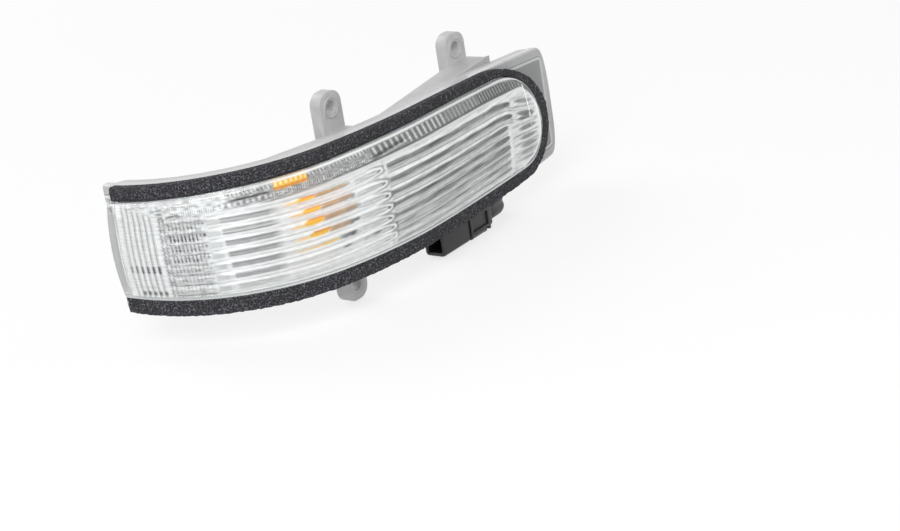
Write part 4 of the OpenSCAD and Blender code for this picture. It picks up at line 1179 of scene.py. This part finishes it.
class LAMP_OT_wires(bpy.types.Operator):
    """Makes the two wires, the flat sleeve over them and the ribbed grommets they pass through"""
    bl_idname = "lamp.wires"
    bl_label = "Wires, sleeve and grommets"

    def execute(self, context):
        sizes, colours = context.scene.lamp_sizes, context.scene.lamp_colours
        # PVC insulation is extruded, so it has a soft gloss and hardly any grain
        light = moulded_plastic("Light PVC insulation", tuple(colours.wire_light), 0.36, 0.9, 0.01, 1.54)
        dark = moulded_plastic("Dark PVC insulation", tuple(colours.wire_dark), 0.38, 0.9, 0.01, 1.54)
        strand = strand_tree()
        for side, name, material in ((-1, "wire_light", light), (1, "wire_dark", dark)):
            route = wire_route(side)
            steps = np.linspace(0, len(route) - 1, 10 * (len(route) - 1) + 1)
            line = [metres(spline(route, t)) for t in steps]
            edges = [(k, k + 1) for k in range(len(line) - 1)]
            wire = grown(name + "_lead", line, edges, strand,
                         {"Radius": sizes.wire_width / 2, "Sides": 20, "Material": material})
            dress(wire, material, name, name)
        # soft black PVC sleeve that clings to the two wires, so it has a lobe over each
        sleeve = shells("two_lobed_sleeve", [(self.sleeve_grid(), "join")], 50)
        dress(sleeve, moulded_plastic("Soft black PVC", tuple(colours.sleeve), 0.46, 0.5, 0.03, 1.54), "sleeve_black",
              "wire_sleeve")
        # EPDM rubber, compression moulded: dull black with faint bloom
        rubber = moulded_plastic("Moulded EPDM rubber", tuple(colours.rubber), 0.62, 0.4, 0.02, 1.5, 0.15)
        rings = ring_tree()
        # profile of a grommet: (length from the tube's mouth, radius) in mm
        profile = [(-0.8, 1.5), (-0.8, 2.6), (-0.5, 2.95), (0.2, 3.0),
                   (7.6, 3.0), (8.2, 2.6), (8.2, 1.15), (-0.5, 1.15)]
        up = np.array([0, 0, 1.0])
        out = np.cross(TUBE_WAY, up)
        for side, name in ((-1, "grommet_a"), (1, "grommet_b")):
            grid = [[metres(on_tube(t, side) + r * (math.cos(a) * up + math.sin(a) * out))
                     for a in np.linspace(0, 2 * math.pi, 41)[:-1]] for t, r in profile]
            body = shells("plug", [(np.array(grid), "join")], 40)
            spots = [metres(on_tube(t, side)) for t in (0.5, 3.1, 5.7)]
            ribs = grown("ribs", spots, [], rings, {"Ring radius": 0.0031, "Thickness": 0.00052, "Around": 40,
                                                    "Material": rubber}, [tuple(TUBE_WAY)] * 3)
            dress(joined(name + "_plug", [body, ribs]), rubber, "rubber_black", name)
        for node in ("connector_seal_a", "connector_seal_b"):
            dress_node(node, rubber)
        return {"FINISHED"}

    def sleeve_grid(self):
        route = sleeve_route()
        steps = np.linspace(0, len(route) - 1, 12 * (len(route) - 1) + 1)

        def ring(t, wide, thick):
            c, d = spline(route, t), tangent(route, t)
            up = across(d)
            side = np.cross(d, up)
            pts = []
            for k in range(36):
                a = 2 * math.pi * k / 36
                waist = 1 - 0.3 * math.exp(-(math.sin(a) / 0.3) ** 2)
                full = abs(math.cos(a)) ** 0.85 * math.copysign(1, math.cos(a))
                pts.append(metres(c + wide / 2 * math.sin(a) * up + thick / 2 * waist * full * side))
            return pts

        outer = [ring(t, 6.9, 4.7) for t in steps]
        inner = [ring(t, 5.8, 3.6) for t in steps[::-1]]
        return np.array(outer + inner)


class LAMP_OT_connector(bpy.types.Operator):
    """Makes the connector body with its mouth, collar and rail, and its lock"""
    bl_idname = "lamp.connector"
    bl_label = "Connector"

    def execute(self, context):
        colours = context.scene.lamp_colours
        x, y, z = PLUG

        def ring(at, inset, r):
            return rounded_ring(x + at, y + inset, y + PLUG_W - inset, z + inset, z + PLUG_H - inset, r, 5)

        body = [ring(9.9, 1.3, 0.5), ring(0.7, 1.2, 0.5), ring(0.25, 1.0, 0.7), ring(0, 0.6, 0.9),
                ring(0.25, 0.15, 1.1), ring(0.9, 0, 1.2), ring(13.6, 0, 1.2), ring(13.9, 0.3, 1.1),
                ring(14.1, 0.6, 0.9), ring(26.8, 0.6, 0.9), ring(27.6, 0.8, 0.9), ring(28, 1.2, 0.8)]
        # ribs on the front face, a step under the mouth and a frame round the wire end
        parts = [(metres(body), "cap")] + self.boxes(
            (16, 25.5, 0.0, 0.9, 1.2, 2.2, 0.25), (16, 25.5, 0.0, 0.9, 6.6, 7.6, 0.25),
            (2.5, 12.5, 0.0, 0.6, 7.6, 8.6, 0.25), (15.2, 16.4, 0.1, 7.4, 0.2, 9.0, 0.25),
            (24.6, 25.8, 0.1, 7.4, 0.2, 9.0, 0.25))
        piece = shells("connector_moulding", parts, 35)
        # PA66: semi-gloss black, with the grain of its glass fill
        dress(piece, moulded_plastic("Black PA66", tuple(colours.connector), 0.4, 0.3, 0.02), "connector_black",
              "connector_body")
        parts = self.boxes((16, 25, 1.2, 6.4, -0.5, 0.6, 0.3), (16.2, 17.4, 1.4, 6.2, -0.7, 0.3, 0.25),
                           (23.4, 24.8, 1.4, 6.2, -0.7, 0.3, 0.25))
        dress(shells("lock_slide", parts, 35), moulded_plastic("Grey PA66", tuple(colours.lock), 0.38, 0.3, 0.02),
              "lock_grey", "connector_lock")
        return {"FINISHED"}

    def boxes(self, *boxes):
        """Rounded boxes, given in mm from the plug's corner."""
        return [(metres(np.array(soft_box(*box)) + PLUG), "cap") for box in boxes]


class LAMP_OT_stage(bpy.types.Operator):
    """Makes the pale floor, the soft lights and the camera at the photograph's angle"""
    bl_idname = "lamp.stage"
    bl_label = "Stage"

    def execute(self, context):
        scene = context.scene
        scene.view_settings.view_transform = "Standard"
        material = pale_stage("Pale studio sheet", tuple(scene.lamp_colours.floor), 0.72)
        half, n = 3.0, 13
        ys = np.linspace(-half, half, n)
        points = [(x, y, FLOOR_Z) for x in ys for y in ys]
        faces = [(i * n + j, (i + 1) * n + j, (i + 1) * n + j + 1, i * n + j + 1)
                 for i in range(n - 1) for j in range(n - 1)]
        mesh = bpy.data.meshes.new("floor")
        mesh.from_pydata(points, [], faces)
        mesh.materials.append(material)
        link("floor", mesh)
        self.world(scene)
        self.lamp("key", (-0.85, -0.4, 0.7), 0.7, 10.0)
        self.lamp("fill", (0.6, -0.9, 0.5), 0.8, 2.0)
        self.lamp("back", (0.1, 0.9, 0.75), 0.8, 5.0)
        data = bpy.data.cameras.new("camera")
        data.sensor_width, data.lens = 36.0, 100.274
        data.clip_start, data.clip_end = 0.01, 20
        camera = bpy.data.objects.new("camera", data)
        camera.location = (-0.54360738, -0.4828006, 0.21736839)
        camera.rotation_mode = "QUATERNION"
        camera.rotation_quaternion = (0.71226363, 0.53203934, -0.2008563, -0.41142606)
        scene.collection.objects.link(camera)
        scene.camera = camera
        return {"FINISHED"}

    def world(self, scene):
        """White where the camera, gloss or glass looks past the floor, and a plain soft light elsewhere."""
        world = bpy.data.worlds.new("Studio")
        world.use_nodes = True
        tree = world.node_tree
        tree.nodes.clear()
        soft = add(tree, "ShaderNodeBackground", {"Color": (1, 1, 1, 1), "Strength": 0.45})
        white = add(tree, "ShaderNodeBackground", {"Color": (1, 1, 1, 1), "Strength": 1.0})
        mix = add(tree, "ShaderNodeMixShader", {0: seen_rays(tree), 1: soft, 2: white})
        add(tree, "ShaderNodeOutputWorld", {"Surface": mix})
        scene.world = world

    def lamp(self, name, where, width, watts):
        data = bpy.data.lights.new(name, "AREA")
        data.shape, data.size, data.energy = "SQUARE", width, watts
        obj = bpy.data.objects.new(name, data)
        obj.location = where
        obj.rotation_mode = "QUATERNION"
        obj.rotation_quaternion = (Vector((0, 0, 0)) - Vector(where)).to_track_quat("-Z", "Y")
        bpy.context.scene.collection.objects.link(obj)


class LAMP_PT_panel(bpy.types.Panel):
    bl_idname = "LAMP_PT_panel"
    bl_label = "Side repeater"
    bl_space_type = "VIEW_3D"
    bl_region_type = "UI"
    bl_category = "Side repeater"

    def draw(self, context):
        for group in (context.scene.lamp_sizes, context.scene.lamp_colours):
            for name in group.__annotations__:
                self.layout.prop(group, name)
        for operator in STEPS:
            self.layout.operator(operator.bl_idname)


STEPS = (LAMP_OT_stage, LAMP_OT_housing, LAMP_OT_lens, LAMP_OT_tray, LAMP_OT_foam, LAMP_OT_bulb, LAMP_OT_wires,
         LAMP_OT_connector)
CLASSES = (LampSizes, LampColours) + STEPS + (LAMP_PT_panel,)


def register():
    for cls in CLASSES:
        bpy.utils.register_class(cls)
    bpy.types.Scene.lamp_sizes = bpy.props.PointerProperty(type=LampSizes)
    bpy.types.Scene.lamp_colours = bpy.props.PointerProperty(type=LampColours)


def unregister():
    del bpy.types.Scene.lamp_colours
    del bpy.types.Scene.lamp_sizes
    for cls in reversed(CLASSES):
        bpy.utils.unregister_class(cls)


def main():
    register()
    for step in STEPS:
        group, name = step.bl_idname.split(".")
        getattr(getattr(bpy.ops, group), name)()


if __name__ == "__main__":
    main()
